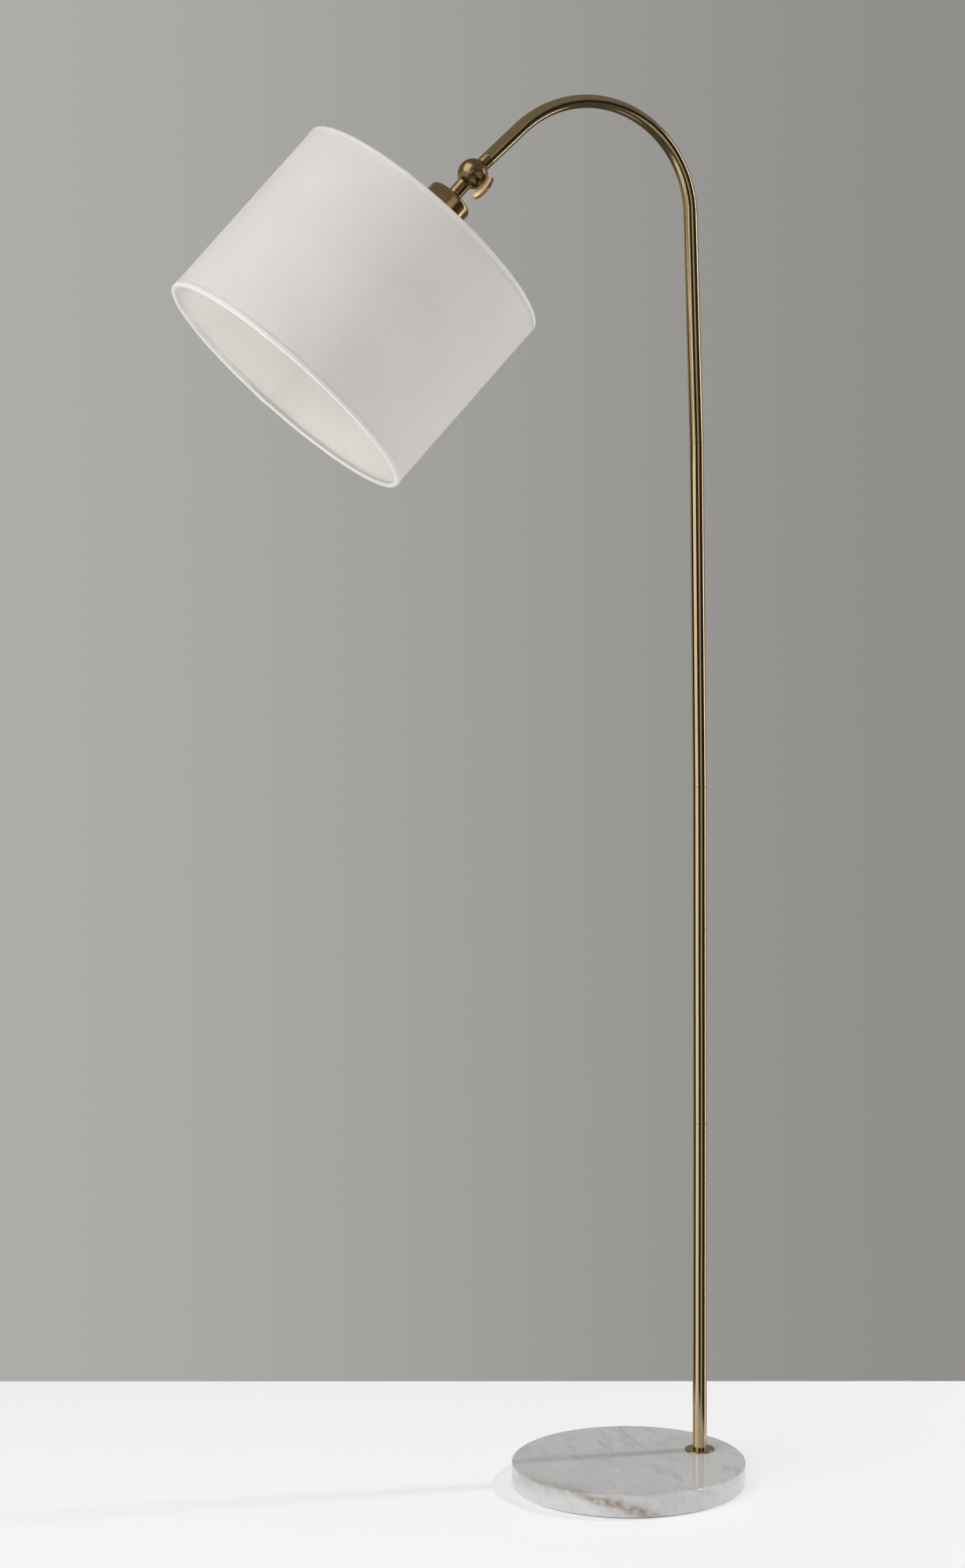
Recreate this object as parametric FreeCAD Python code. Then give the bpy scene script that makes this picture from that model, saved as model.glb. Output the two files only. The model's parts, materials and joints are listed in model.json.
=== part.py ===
"""Arc floor lamp: a round marble foot, a four-length pole that bends over into an arc, and a tilting shade.

Millimetres, +Z up. The origin is the centre of the foot's underside and the arc reaches towards -X.
Each sub-part is one STEP file. Most shapes are turned about the Z axis of a local frame (foot, pole length,
hinge or head) and then placed in the lamp.
"""
import FreeCAD, Part
import os
from math import asin, cos, degrees, pi, radians, sin, sqrt

os.makedirs("parts", exist_ok=True)

# ---- foot ----
marble_radius = 133.0
marble_thick = 25.0
marble_top_round = 2.5
marble_bottom_bevel = 0.8
pad_thick = 1.7
pad_inset = 4.0
pole_offset = 90.7            # from the foot's centre to the pole's axis
recess_radius = 21.0          # pocket under the marble for the clamping nut
recess_depth = 14.0
cord_channel_width = 9.0
cord_channel_depth = 9.0
grommet_length = 10.0
grommet_gap = 0.1
cord_radius = 3.2             # room for the flex through foot and grommet

# ---- hollow threaded studs, nuts and washers ----
stud_radius = 5.0
stud_bore = 3.2
stud_play = 0.15              # radial thread play, which lets the pole lean a little
plain_hole_gap = 0.4
nut_across_flats = 16.0
nut_height = 6.0
washer_radius = 18.0
washer_thick = 2.0
spring_washer_radius = 8.6
spring_washer_thick = 1.8
spring_washer_split = 1.6
stud_below_nut = 2.0

# ---- pole ----
tube_radius = 8.0
tube_wall = 1.2
flange_radius = 17.0
flange_thick = 1.8
flange_round = 0.7
first_length = 380.6
middle_length = 384.2
top_straight = 250.6
seam_gap = 0.2
edge_bevel = 0.25
seam_leans = [0.14, 0.47, 1.19]  # degrees the pole gives towards the shade at each seam
bush_length = 15.0
bush_gap = 0.03
stud_reach = 13.0             # how far a stud enters each bush
boss_reach = 8.0              # how far a stud enters a boss of the swivel

# ---- arc ----
bend_radius = 124.1
bend_sweep = 129.0
bend_flatten = 0.09           # share lost across the tube at the middle of the bend
bend_widen = 0.06             # share gained sideways there
tail_length = 50.2

# ---- ball swivel ----
collar_reach = 24.0           # ball centre to the arc's end
collar_step = 0.15            # collar is this much under the tube's radius
collar_lean = 19.3            # the collar leans this far from square to the hinge
stub_lean = 16.9
swivel_turn = 78.0            # turn of the hinge about the arc's end
rest_tilt = 6.8               # tilt of the head at rest
ball_radius = 16.4
ball_wall = 2.6
half_gap = 0.15               # half of the split between the two halves
swing_gap = 0.3               # room between a boss and the other half's ball
hub_radius = 5.2
friction_washer_thick = 1.0
boss_radius = 10.0
boss_height = 19.5
hollow_radius = 8.6
hollow_floor = 12.0
cone_washer_radius = 7.6
cone_washer_thick = 0.9
cone_washer_rise = 0.5
screw_radius = 2.5
screw_fit = 0.05
screw_depth = 11.0            # tapped hole in the far half
screw_end_room = 0.5
shoulder_radius = 4.6
shoulder_thick = 1.8
paddle_radius = 14.7
paddle_thick = 3.8
paddle_round = 0.7
paddle_low = 34.5             # ball centre to the paddle's near rim
paddle_turn = -75.6
paddle_cant = 10.0            # the paddle leans this far off the screw's axis
neck_radius = 2.8             # screw above its shoulder
neck_grip = 2.0               # how far the neck's slotted end holds the paddle

# ---- cup and socket, measured along the head's axis from the ball's centre ----
stub_end = 33.7
cup_radius = 25.8
cup_height = 40.0
cup_wall = 1.0
cup_round = 5.0
least_round = 0.5
cup_nut_height = 4.0
cap_height = 14.0
cap_wall = 1.0
cap_hub_wall = 3.0
cap_hub_room = 3.0            # hub's end to the cap's lower edge
cap_shoulder_width = 3.0
cap_shoulder_rise = 2.0
cap_rim_rise = 5.0
cup_stud_room = 4.0           # stud's end to the cap's lower edge
shell_radius = 19.0
shell_wall = 0.9
shell_length = 60.0
seat_radius = 23.5
seat_thick = 1.4
sleeve_gap = 0.2
sleeve_wall = 0.5
sleeve_end_gap = 0.5
body_gap = 0.3
body_length = 30.0
body_foot_gap = 2.0           # shell's lower edge to the body
screw_shell_radius = 13.9
screw_shell_wall = 0.5
screw_shell_room = 1.0        # its open end to the shell's end
contact_gap = 2.0             # round the centre contact
contact_radius = 4.0
contact_height = 1.6
key_angle = 50.0
key_height = 79.5
key_root = 7.0                # from the head's axis to the key's inner end
key_end_room = 0.5
key_shaft_radius = 1.8
key_fit = 0.05
key_hole_gap = 0.7
key_knob_radius = 5.0
key_knob_length = 11.0
key_flutes = 10
key_flute_radius = 0.8
key_flute_start = 2.0
key_knob_gap = 2.0            # cup's wall to the knob
ring_nut_radius = 25.5
ring_nut_height = 6.0
ring_nut_gap = 0.1
ring_nut_notches = 12
ring_nut_notch_radius = 1.4

# ---- shade ----
shade_radius = 157.8
shade_height = 227.5
shade_top = 82.15             # ball centre to the shade's top edge
fabric_thick = 0.5
liner_thick = 0.8
layer_gap = 0.05
wire_radius = 1.5
hem_thick = 0.5
top_hem_height = 5.0
bottom_hem_height = 5.0
hem_turn_in = 7.5             # how far the bottom hem is turned up inside
spider_drop = 16.0            # fitter ring below the shade's top edge
spider_ring_thick = 1.2
spider_ring_radius = 28.0
spider_arm_radius = 1.6
spider_arms = 3
spider_arm_angle = 20.0
spider_elbow = 16.0           # radial distance from elbow to wire ring
spider_arm_lap = 3.0          # how far an arm lies on the fitter ring
spider_nut_gap = 0.5

# ---- bulb ----
bulb_screw_radius = 13.1
bulb_screw_length = 21.0
bulb_screw_wall = 0.4
bulb_tip_radius = 4.6
bulb_tip_height = 1.2
bulb_insulator_height = 3.2
bulb_ball_radius = 30.0
bulb_length = 105.0
bulb_neck_radius = 14.6
bulb_neck_height = 6.0
bulb_glass_wall = 0.8
bulb_glass_lap = 4.0          # glass held inside the screw base
bulb_base_bevel = 1.0

overrun = 1.0                 # how far a cutter runs past the face it cuts

ORIGIN = FreeCAD.Vector(0, 0, 0)
X_AXIS = FreeCAD.Vector(1, 0, 0)
Y_AXIS = FreeCAD.Vector(0, 1, 0)
Z_AXIS = FreeCAD.Vector(0, 0, 1)


# ---- small tools ----
def move(x=0.0, y=0.0, z=0.0):
    return FreeCAD.Placement(FreeCAD.Vector(x, y, z), FreeCAD.Rotation())


def turn(axis, angle):
    return FreeCAD.Placement(ORIGIN, FreeCAD.Rotation(axis, angle))


def placed(shape, frame):
    """A copy of a shape made in a local frame, put into the lamp."""
    copy = shape.copy()
    copy.Placement = frame.multiply(copy.Placement)
    return copy


def cylinder(radius, low, high):
    return Part.makeCylinder(radius, high - low, FreeCAD.Vector(0, 0, low), Z_AXIS)


def ring(outer, inner, low, high):
    return cylinder(outer, low, high).cut(cylinder(inner, low - overrun, high + overrun))


def rod(start, direction, length, radius):
    return Part.makeCylinder(radius, length, start, direction)


def turned(outline):
    """A closed outline of (radius, height) points turned about Z."""
    points = [FreeCAD.Vector(r, 0, z) for r, z in outline]
    face = Part.Face(Part.makePolygon(points + [points[0]]))
    return face.revolve(ORIGIN, Z_AXIS, 360)


def circle_edges(shape, radius, height):
    """Round edges about Z with this radius at this height."""
    found = []
    for edge in shape.Edges:
        if isinstance(edge.Curve, Part.Circle):
            centre = edge.Curve.Center
            on_axis = abs(centre.x) < 1e-6 and abs(centre.y) < 1e-6
            if on_axis and abs(edge.Curve.Radius - radius) < 1e-6 and abs(centre.z - height) < 1e-6:
                found.append(edge)
    return found


def hexagon(across_flats, low, high):
    corner = across_flats / sqrt(3)
    angles = [radians(60 * i) for i in range(7)]
    points = [FreeCAD.Vector(corner * cos(angle), corner * sin(angle), low) for angle in angles]
    return Part.Face(Part.makePolygon(points)).extrude(FreeCAD.Vector(0, 0, high - low))


def hex_nut(low, high):
    """Nut with its corners bevelled on both faces, bored for a stud."""
    bevel = nut_across_flats * 0.04
    corner = nut_across_flats / sqrt(3)
    outline = [(0, low), (corner - bevel * 2, low), (corner, low + bevel), (corner, high - bevel)]
    outline += [(corner - bevel * 2, high), (0, high)]
    blank = hexagon(nut_across_flats, low, high).common(turned(outline))
    return blank.cut(cylinder(stud_radius + stud_play, low - overrun, high + overrun))


def hollow_stud(low, high):
    return ring(stud_radius, stud_bore, low, high)


def bush(outer, low, high):
    return ring(outer, stud_radius + stud_play, low, high)


# ---- frames from the foot to the head ----
foot_top = pad_thick + marble_thick
pole_foot = move(pole_offset, 0, foot_top + flange_thick)


def pole_frames():
    """One frame at the lower end of each length of pole, the last for the arc."""
    frames = [pole_foot]
    for length, lean in zip([first_length, middle_length, middle_length], seam_leans):
        frames.append(frames[-1].multiply(move(z=length)).multiply(turn(Y_AXIS, -lean)))
    return frames


def bend_frame(angle):
    """Frame on the bend's centreline, seen from the top length's own frame."""
    to_centre = move(-bend_radius, 0, top_straight)
    return to_centre.multiply(turn(Y_AXIS, -angle)).multiply(move(bend_radius))


frames = pole_frames()
tail_frame = frames[-1].multiply(bend_frame(bend_sweep))
arc_end = tail_frame.multiply(move(z=tail_length))
ball_frame = arc_end.multiply(move(z=collar_reach))
collar_frame = ball_frame.multiply(turn(Z_AXIS, swivel_turn))
hinge_frame = collar_frame.multiply(turn(Y_AXIS, collar_lean - 90))
tilted_frame = hinge_frame.multiply(turn(Z_AXIS, rest_tilt))
head_frame = tilted_frame.multiply(turn(Y_AXIS, 90 - stub_lean))


# ---- foot ----
recess_roof = pad_thick + recess_depth
stud_hole = stud_radius + plain_hole_gap


def marble_base():
    slab = Part.makeCylinder(marble_radius, marble_thick, FreeCAD.Vector(0, 0, pad_thick))
    slab = slab.makeFillet(marble_top_round, circle_edges(slab, marble_radius, foot_top))
    slab = slab.makeChamfer(marble_bottom_bevel, circle_edges(slab, marble_radius, pad_thick))
    recess = cylinder(recess_radius, 0, recess_roof)
    hole = cylinder(stud_hole, 0, foot_top + overrun)
    channel = Part.makeBox(marble_radius, cord_channel_width, cord_channel_depth,
                           FreeCAD.Vector(0, -cord_channel_width / 2, pad_thick))
    for cutter in (recess, hole, channel):
        slab = slab.cut(placed(cutter, move(pole_offset)))
    return slab


def cord_grommet():
    """Rubber bush that fills the mouth of the cord channel."""
    mouth = sqrt(marble_radius ** 2 - (cord_channel_width / 2) ** 2) - marble_bottom_bevel
    width = cord_channel_width - 2 * grommet_gap
    height = cord_channel_depth - grommet_gap
    corner = FreeCAD.Vector(mouth - grommet_length, -width / 2, pad_thick)
    block = Part.makeBox(grommet_length, width, height, corner)
    start = FreeCAD.Vector(mouth - grommet_length - overrun, 0, pad_thick + cord_channel_depth / 2)
    return block.cut(rod(start, X_AXIS, grommet_length + 2 * overrun, cord_radius))


washer_low = recess_roof - washer_thick
spring_low = washer_low - spring_washer_thick
nut_low = spring_low - nut_height
stud_low = nut_low - stud_below_nut


def foot_spring_washer():
    coil = ring(spring_washer_radius, stud_hole, spring_low, washer_low)
    split = Part.makeBox(spring_washer_radius * 2, spring_washer_split, spring_washer_thick * 3,
                         FreeCAD.Vector(0, -spring_washer_split / 2, spring_low - spring_washer_thick))
    return coil.cut(split)


def foot_flange():
    disc = cylinder(flange_radius, foot_top, foot_top + flange_thick)
    disc = disc.makeFillet(flange_round, circle_edges(disc, flange_radius, foot_top + flange_thick))
    return disc.cut(cylinder(stud_hole, foot_top - overrun, foot_top + flange_thick + overrun))


def make_foot():
    at_pole = move(pole_offset)
    pieces = {
        "marble_base": marble_base(),
        "base_pad": cylinder(marble_radius - pad_inset, 0, pad_thick),
        "cord_grommet": cord_grommet(),
        "foot_flange": placed(foot_flange(), at_pole),
        "foot_washer": placed(ring(washer_radius, stud_hole, washer_low, recess_roof), at_pole),
        "foot_spring_washer": placed(foot_spring_washer(), at_pole),
        "foot_nut": placed(hex_nut(nut_low, spring_low), at_pole),
        "foot_stud": placed(hollow_stud(stud_low, foot_top + flange_thick + stud_reach), at_pole),
    }
    return pieces


# ---- pole ----
tube_bore = tube_radius - tube_wall
bush_radius = tube_bore - bush_gap


def pole_length(length):
    """Plain tube with a fine bevel round both outer edges."""
    high = length - seam_gap
    outline = [(tube_bore, 0), (tube_radius - edge_bevel, 0), (tube_radius, edge_bevel)]
    outline += [(tube_radius, high - edge_bevel), (tube_radius - edge_bevel, high), (tube_bore, high)]
    return turned(outline)


def bend_profile(across, sideways, angle):
    """Oval wire square to the bend's centreline. The sideways radius is never the smaller one."""
    oval = Part.Ellipse(FreeCAD.Vector(0, sideways, 0), FreeCAD.Vector(-across, 0, 0), ORIGIN)
    wire = Part.Wire([oval.toShape()])
    wire.Placement = bend_frame(angle)
    return wire


def bend_solid(radius):
    """Bent rod, round at both ends and flattened in its middle as a bent tube is."""
    ends = [bend_frame(angle).multVec(ORIGIN) for angle in (0, bend_sweep / 2, bend_sweep)]
    sweep = Part.BRepOffsetAPI.MakePipeShell(Part.Wire([Part.Arc(*ends).toShape()]))
    sweep.setFrenetMode(True)
    sweep.add(bend_profile(radius, radius, 0))
    sweep.add(bend_profile(radius * (1 - bend_flatten), radius * (1 + bend_widen), bend_sweep / 2))
    sweep.add(bend_profile(radius, radius, bend_sweep))
    sweep.build()
    sweep.makeSolid()
    return sweep.shape()


def arc_length():
    """Top length: straight, then bent over, then straight to the swivel."""
    tail_high = tail_length - seam_gap
    low = [(tube_bore, 0), (tube_radius - edge_bevel, 0), (tube_radius, edge_bevel)]
    straight = turned(low + [(tube_radius, top_straight), (tube_bore, top_straight)])
    high = [(tube_radius, tail_high - edge_bevel), (tube_radius - edge_bevel, tail_high)]
    high += [(tube_bore, tail_high)]
    tail = placed(turned([(tube_bore, 0), (tube_radius, 0)] + high), bend_frame(bend_sweep))
    bend = bend_solid(tube_radius).cut(bend_solid(tube_bore))
    return straight.fuse([bend, tail])


def make_pole():
    lengths = [first_length, middle_length, middle_length]
    pieces = {}
    for i, length in enumerate(lengths):
        pieces[f"pole_length_{i + 1}"] = placed(pole_length(length), frames[i])
        pieces[f"lower_bush_{i + 1}"] = placed(bush(bush_radius, 0, bush_length), frames[i])
        upper = bush(bush_radius, length - seam_gap - bush_length, length - seam_gap)
        pieces[f"upper_bush_{i + 1}"] = placed(upper, frames[i])
        half_lean = frames[i + 1].multiply(turn(Y_AXIS, seam_leans[i] / 2))
        pieces[f"pole_stud_{i + 1}"] = placed(hollow_stud(-stud_reach, stud_reach), half_lean)
    pieces["arc_length"] = placed(arc_length(), frames[-1])
    pieces["arc_lower_bush"] = placed(bush(bush_radius, 0, bush_length), frames[-1])
    pieces["arc_end_bush"] = placed(bush(bush_radius, -seam_gap - bush_length, -seam_gap), arc_end)
    pieces["arc_end_stud"] = placed(hollow_stud(-stud_reach, boss_reach), arc_end)
    return pieces


# ---- ball swivel, in the hinge's frame: +Z runs out along the screw to the paddle ----
collar_radius = tube_radius - collar_step
ball_hollow = ball_radius - ball_wall
hub_face = friction_washer_thick / 2
stud_socket = stud_radius + stud_play
bore_depth = boss_reach + overrun


def half_space(sign, gap):
    """Everything on one side of the split, less the gap."""
    size = 8 * ball_radius
    low = gap if sign > 0 else -gap - size
    return Part.makeBox(size, size, size, FreeCAD.Vector(-size / 2, -size / 2, low))


def boss(frame, length, sign, radius):
    """Round boss from the ball's middle out to its end, kept clear of the other half of the ball."""
    blank = placed(cylinder(radius, 0, length), frame)
    other_side = Part.makeSphere(ball_radius + swing_gap).common(half_space(-sign, -half_gap))
    return blank.cut(other_side)


def swivel_half(sign, frame, length):
    """Hollow half ball with its hub and its boss."""
    side = half_space(sign, half_gap)
    solid = Part.makeSphere(ball_radius).common(side)
    if sign > 0:
        solid = solid.fuse(cylinder(boss_radius, hollow_floor - overrun, boss_height))
    solid = solid.fuse(boss(frame, length, sign, collar_radius))
    floor = hollow_floor - ball_wall
    inside = Part.makeSphere(ball_hollow).common(side)
    if sign > 0:
        inside = inside.common(cylinder(ball_radius, 0, floor))
        solid = solid.cut(cylinder(hollow_radius, hollow_floor, boss_height + overrun))
        hub = cylinder(hub_radius, hub_face, hollow_floor)
    else:
        hub = cylinder(hub_radius, -ball_hollow - ball_wall / 2, -hub_face)
    solid = solid.cut(inside).fuse(hub)
    stud_hole_cut = placed(cylinder(stud_socket, length - bore_depth, length + overrun), frame)
    wire_hole = placed(cylinder(stud_bore, ball_hollow - ball_wall, length), frame)
    return solid.cut([stud_hole_cut, wire_hole])


def swivel_arm_half():
    """Far half: screwed to the arc's end, and tapped for the thumb screw."""
    frame = turn(Y_AXIS, 90 - collar_lean).multiply(turn(X_AXIS, 180))
    half = swivel_half(-1, frame, collar_reach)
    return half.cut(cylinder(screw_radius + screw_fit, -screw_depth, overrun))


def swivel_head_half():
    """Near half: carries the cup, and turns about the screw."""
    frame = turn(Z_AXIS, rest_tilt).multiply(turn(Y_AXIS, 90 - stub_lean))
    half = swivel_half(1, frame, stub_end)
    return half.cut(cylinder(screw_radius + screw_fit, -overrun, boss_height + overrun))


def cone_washer():
    """Dished spring washer under the screw's shoulder."""
    inner = screw_radius + plain_hole_gap
    low = hollow_floor
    outer = cone_washer_radius
    top = low + cone_washer_thick
    outline = [(inner, low + cone_washer_rise), (outer, low), (outer, top), (inner, top + cone_washer_rise)]
    return turned(outline)


def paddle_frame():
    """Disc standing on its near rim, turned about the screw and canted off it."""
    near_rim = move(z=paddle_low).multiply(turn(Z_AXIS, paddle_turn))
    return near_rim.multiply(turn(Y_AXIS, 90 + paddle_cant)).multiply(move(x=-paddle_radius))


def thumb_paddle():
    half = paddle_thick / 2
    coin = cylinder(paddle_radius, -half, half)
    edges = circle_edges(coin, paddle_radius, half) + circle_edges(coin, paddle_radius, -half)
    return placed(coin.makeFillet(paddle_round, edges), paddle_frame())


def thumb_screw():
    """Screw with a shoulder, and a slotted end that the paddle is brazed into."""
    shoulder_low = hollow_floor + cone_washer_rise + cone_washer_thick
    shank = cylinder(screw_radius, screw_end_room - screw_depth, shoulder_low)
    shoulder = cylinder(shoulder_radius, shoulder_low, shoulder_low + shoulder_thick)
    neck = cylinder(neck_radius, shoulder_low, paddle_low + neck_grip)
    slot = placed(cylinder(paddle_radius + screw_fit, -paddle_thick / 2, paddle_thick / 2), paddle_frame())
    return shank.fuse([shoulder, neck]).cut(slot)


def make_swivel():
    washer = ring(hub_radius, screw_radius + plain_hole_gap, -hub_face, hub_face)
    pieces = {
        "swivel_arm_half": swivel_arm_half(),
        "swivel_head_half": swivel_head_half(),
        "friction_washer": washer,
        "cone_washer": cone_washer(),
        "thumb_screw": thumb_screw(),
        "thumb_paddle": thumb_paddle(),
    }
    return {name: placed(shape, hinge_frame) for name, shape in pieces.items()}


# ---- cup and socket, in the head's frame: +Z runs down the shade's axis ----
cup_nut_low = stub_end + cup_wall
cap_low = cup_nut_low + cup_nut_height
shell_low = cap_low + cap_height
shell_high = shell_low + shell_length
shell_bore = shell_radius - shell_wall
sleeve_radius = shell_bore - sleeve_gap
body_radius = sleeve_radius - sleeve_wall - body_gap
body_low = shell_low + body_foot_gap
body_high = body_low + body_length
contact_high = body_high + contact_height
spider_low = shade_top + spider_drop
spider_high = spider_low + spider_ring_thick


def socket_cup():
    """Spun cup, open below, that hides the socket."""
    blank = cylinder(cup_radius, stub_end, stub_end + cup_height)
    blank = blank.makeFillet(cup_round, circle_edges(blank, cup_radius, stub_end))
    inside = cylinder(cup_radius - cup_wall, stub_end + cup_wall, stub_end + cup_height + overrun)
    inner_round = max(cup_round - cup_wall, least_round)
    inside = inside.makeFillet(inner_round, circle_edges(inside, cup_radius - cup_wall, stub_end + cup_wall))
    return blank.cut([inside, cylinder(stud_socket, stub_end - overrun, stub_end + cup_wall + overrun)])


def socket_cap():
    """Top of the socket: a threaded hub and a dome down to the shell."""
    wall = cap_wall
    hub = stud_socket + cap_hub_wall
    shoulder = shell_radius - cap_shoulder_width
    shoulder_at = cap_low + cap_shoulder_rise
    rim_at = cap_low + cap_rim_rise
    hub_end = shell_low - cap_hub_room
    rim = shell_radius
    outline = [(stud_socket, cap_low), (hub, cap_low), (shoulder, shoulder_at), (rim, rim_at)]
    outline += [(rim, shell_low), (rim - wall, shell_low), (rim - wall, rim_at + wall)]
    outline += [(shoulder - wall, shoulder_at + wall), (hub, cap_low + 2 * wall), (hub, hub_end)]
    outline += [(stud_socket, hub_end)]
    return turned(outline)


def key_rod(radius, start, end):
    """Rod along the switch key's axis, from one radius to another."""
    axis = FreeCAD.Vector(cos(radians(key_angle)), sin(radians(key_angle)), 0)
    return rod(axis * start + Z_AXIS * key_height, axis, end - start, radius)


def socket_shell():
    """Outer shell: plain tube with a seat for the shade's fitter and a hole for the key."""
    tube = ring(shell_radius, shell_bore, shell_low, shell_high)
    seat = ring(seat_radius, shell_bore + shell_wall / 2, spider_low - seat_thick, spider_low)
    hole = key_rod(key_shaft_radius + key_hole_gap, 0, shell_radius * 2)
    return tube.fuse(seat).cut(hole)


def socket_sleeve():
    low = shell_low + sleeve_end_gap
    sleeve = ring(sleeve_radius, sleeve_radius - sleeve_wall, low, shell_high - sleeve_end_gap)
    return sleeve.cut(key_rod(key_shaft_radius + key_hole_gap, 0, shell_radius * 2))


def socket_body():
    """Moulded body that holds the switch and the contacts."""
    block = cylinder(body_radius, body_low, body_high)
    return block.cut(key_rod(key_shaft_radius + key_fit, key_root, shell_radius * 2))


def socket_screw_shell():
    """Brass screw shell, closed at its foot round the centre contact."""
    wall = screw_shell_wall
    tube = ring(screw_shell_radius, screw_shell_radius - wall, body_high, shell_high - screw_shell_room)
    floor = ring(screw_shell_radius, contact_radius + contact_gap, body_high, body_high + wall)
    return tube.fuse(floor)


def switch_key():
    """Fluted key on a round shaft."""
    knob_start = cup_radius + key_knob_gap
    shaft = key_rod(key_shaft_radius, key_root + key_end_room, knob_start + key_knob_length / 2)
    knob = key_rod(key_knob_radius, knob_start, knob_start + key_knob_length)
    axis = FreeCAD.Vector(cos(radians(key_angle)), sin(radians(key_angle)), 0)
    across = Z_AXIS.cross(axis)
    flutes = []
    for i in range(key_flutes):
        angle = 2 * pi * i / key_flutes
        side = Z_AXIS * (key_knob_radius * cos(angle)) + across * (key_knob_radius * sin(angle))
        start = axis * (knob_start + key_flute_start) + Z_AXIS * key_height + side
        flutes.append(rod(start, axis, key_knob_length, key_flute_radius))
    return knob.cut(flutes).fuse(shaft)


def shade_ring_nut():
    """Notched ring that clamps the shade's fitter against the seat."""
    high = spider_high + ring_nut_height
    nut = ring(ring_nut_radius, shell_radius + ring_nut_gap, spider_high, high)
    notches = []
    for i in range(ring_nut_notches):
        angle = 2 * pi * i / ring_nut_notches
        place = move(ring_nut_radius * cos(angle), ring_nut_radius * sin(angle), 0)
        notches.append(placed(cylinder(ring_nut_notch_radius, spider_high - overrun, high + overrun), place))
    return nut.cut(notches)


def make_head_metal():
    pieces = {
        "cup_stud": hollow_stud(stub_end - boss_reach, shell_low - cup_stud_room),
        "socket_cup": socket_cup(),
        "cup_nut": hex_nut(cup_nut_low, cap_low),
        "socket_cap": socket_cap(),
        "socket_shell": socket_shell(),
        "socket_sleeve": socket_sleeve(),
        "socket_body": socket_body(),
        "socket_screw_shell": socket_screw_shell(),
        "centre_contact": cylinder(contact_radius, body_high, contact_high),
        "switch_key": switch_key(),
        "shade_ring_nut": shade_ring_nut(),
    }
    return pieces


# ---- shade ----
fabric_bore = shade_radius - fabric_thick
liner_radius = fabric_bore - layer_gap
liner_bore = liner_radius - liner_thick
wire_ring_radius = liner_bore - layer_gap - wire_radius
hem_radius = shade_radius + layer_gap + hem_thick
hem_bore = wire_ring_radius - wire_radius - layer_gap - hem_thick
shade_bottom = shade_top + shade_height
wire_depth = wire_radius + hem_thick + layer_gap
top_wire_height = shade_top + wire_depth
bottom_wire_height = shade_bottom - wire_depth
skin_low = shade_top + hem_thick + layer_gap
skin_high = shade_bottom - hem_thick - layer_gap


def wire_ring(height, radius=wire_radius):
    return Part.makeTorus(wire_ring_radius, radius, FreeCAD.Vector(0, 0, height), Z_AXIS)


def hem(edge, inward, outside_height, inside_height):
    """Strip folded over the shade's edge: down the outside, over the edge, and back up inside round the wire.
    inward is +1 at the top edge, where the shade lies above the edge's height, and -1 at the bottom."""
    fold = edge + inward * hem_thick
    outside = edge + inward * outside_height
    inside = edge + inward * inside_height
    outer_bore = shade_radius + layer_gap
    inner_face = hem_bore + hem_thick
    outline = [(hem_radius, edge), (hem_radius, outside), (outer_bore, outside), (outer_bore, fold)]
    outline += [(inner_face, fold), (inner_face, inside), (hem_bore, inside), (hem_bore, edge)]
    return turned(outline)


def arm_path(angle):
    """Start, elbow and end of one arm, from the fitter ring out and up to the wire ring."""
    out = FreeCAD.Vector(cos(radians(angle)), sin(radians(angle)), 0)
    low = spider_high - spider_arm_radius
    start = out * (spider_ring_radius - spider_arm_lap) + Z_AXIS * low
    elbow = out * (wire_ring_radius - spider_elbow) + Z_AXIS * low
    end = out * wire_ring_radius + Z_AXIS * top_wire_height
    return [start, elbow, end]


def arm(angle, radius):
    path = arm_path(angle)
    pieces = [Part.makeSphere(radius, path[1])]
    for start, end in zip(path, path[1:]):
        pieces.append(rod(start, end - start, (end - start).Length, radius))
    return pieces[0].fuse(pieces[1:])


def arm_angles():
    return [spider_arm_angle + 360 * i / spider_arms for i in range(spider_arms)]


def shade_spider():
    """Fitter ring with its arms, which end against the top wire."""
    hub = ring(spider_ring_radius, shell_radius + ring_nut_gap, spider_low, spider_high)
    arms = [arm(angle, spider_arm_radius) for angle in arm_angles()]
    nut_room = cylinder(ring_nut_radius + spider_nut_gap, spider_high, spider_high + 2 * spider_arm_radius)
    seat_room = cylinder(seat_radius + spider_nut_gap, spider_low - 2 * spider_arm_radius, spider_low)
    return hub.fuse(arms).cut([nut_room, seat_room, wire_ring(top_wire_height, wire_radius + layer_gap)])


def top_hem():
    """Top hem, notched where the arms pass through to the wire."""
    strip = hem(shade_top, 1, top_hem_height, top_hem_height)
    return strip.cut([arm(angle, spider_arm_radius + layer_gap * 2) for angle in arm_angles()])


def make_shade():
    return {
        "shade_fabric": ring(shade_radius, fabric_bore, skin_low, skin_high),
        "shade_liner": ring(liner_radius, liner_bore, skin_low, skin_high),
        "top_wire": wire_ring(top_wire_height),
        "bottom_wire": wire_ring(bottom_wire_height),
        "top_hem": top_hem(),
        "bottom_hem": hem(shade_bottom, -1, bottom_hem_height, hem_turn_in),
        "shade_spider": shade_spider(),
    }


# ---- bulb ----
tip_high = contact_high + bulb_tip_height
insulator_high = tip_high + bulb_insulator_height
screw_high = insulator_high + bulb_screw_length


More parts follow.
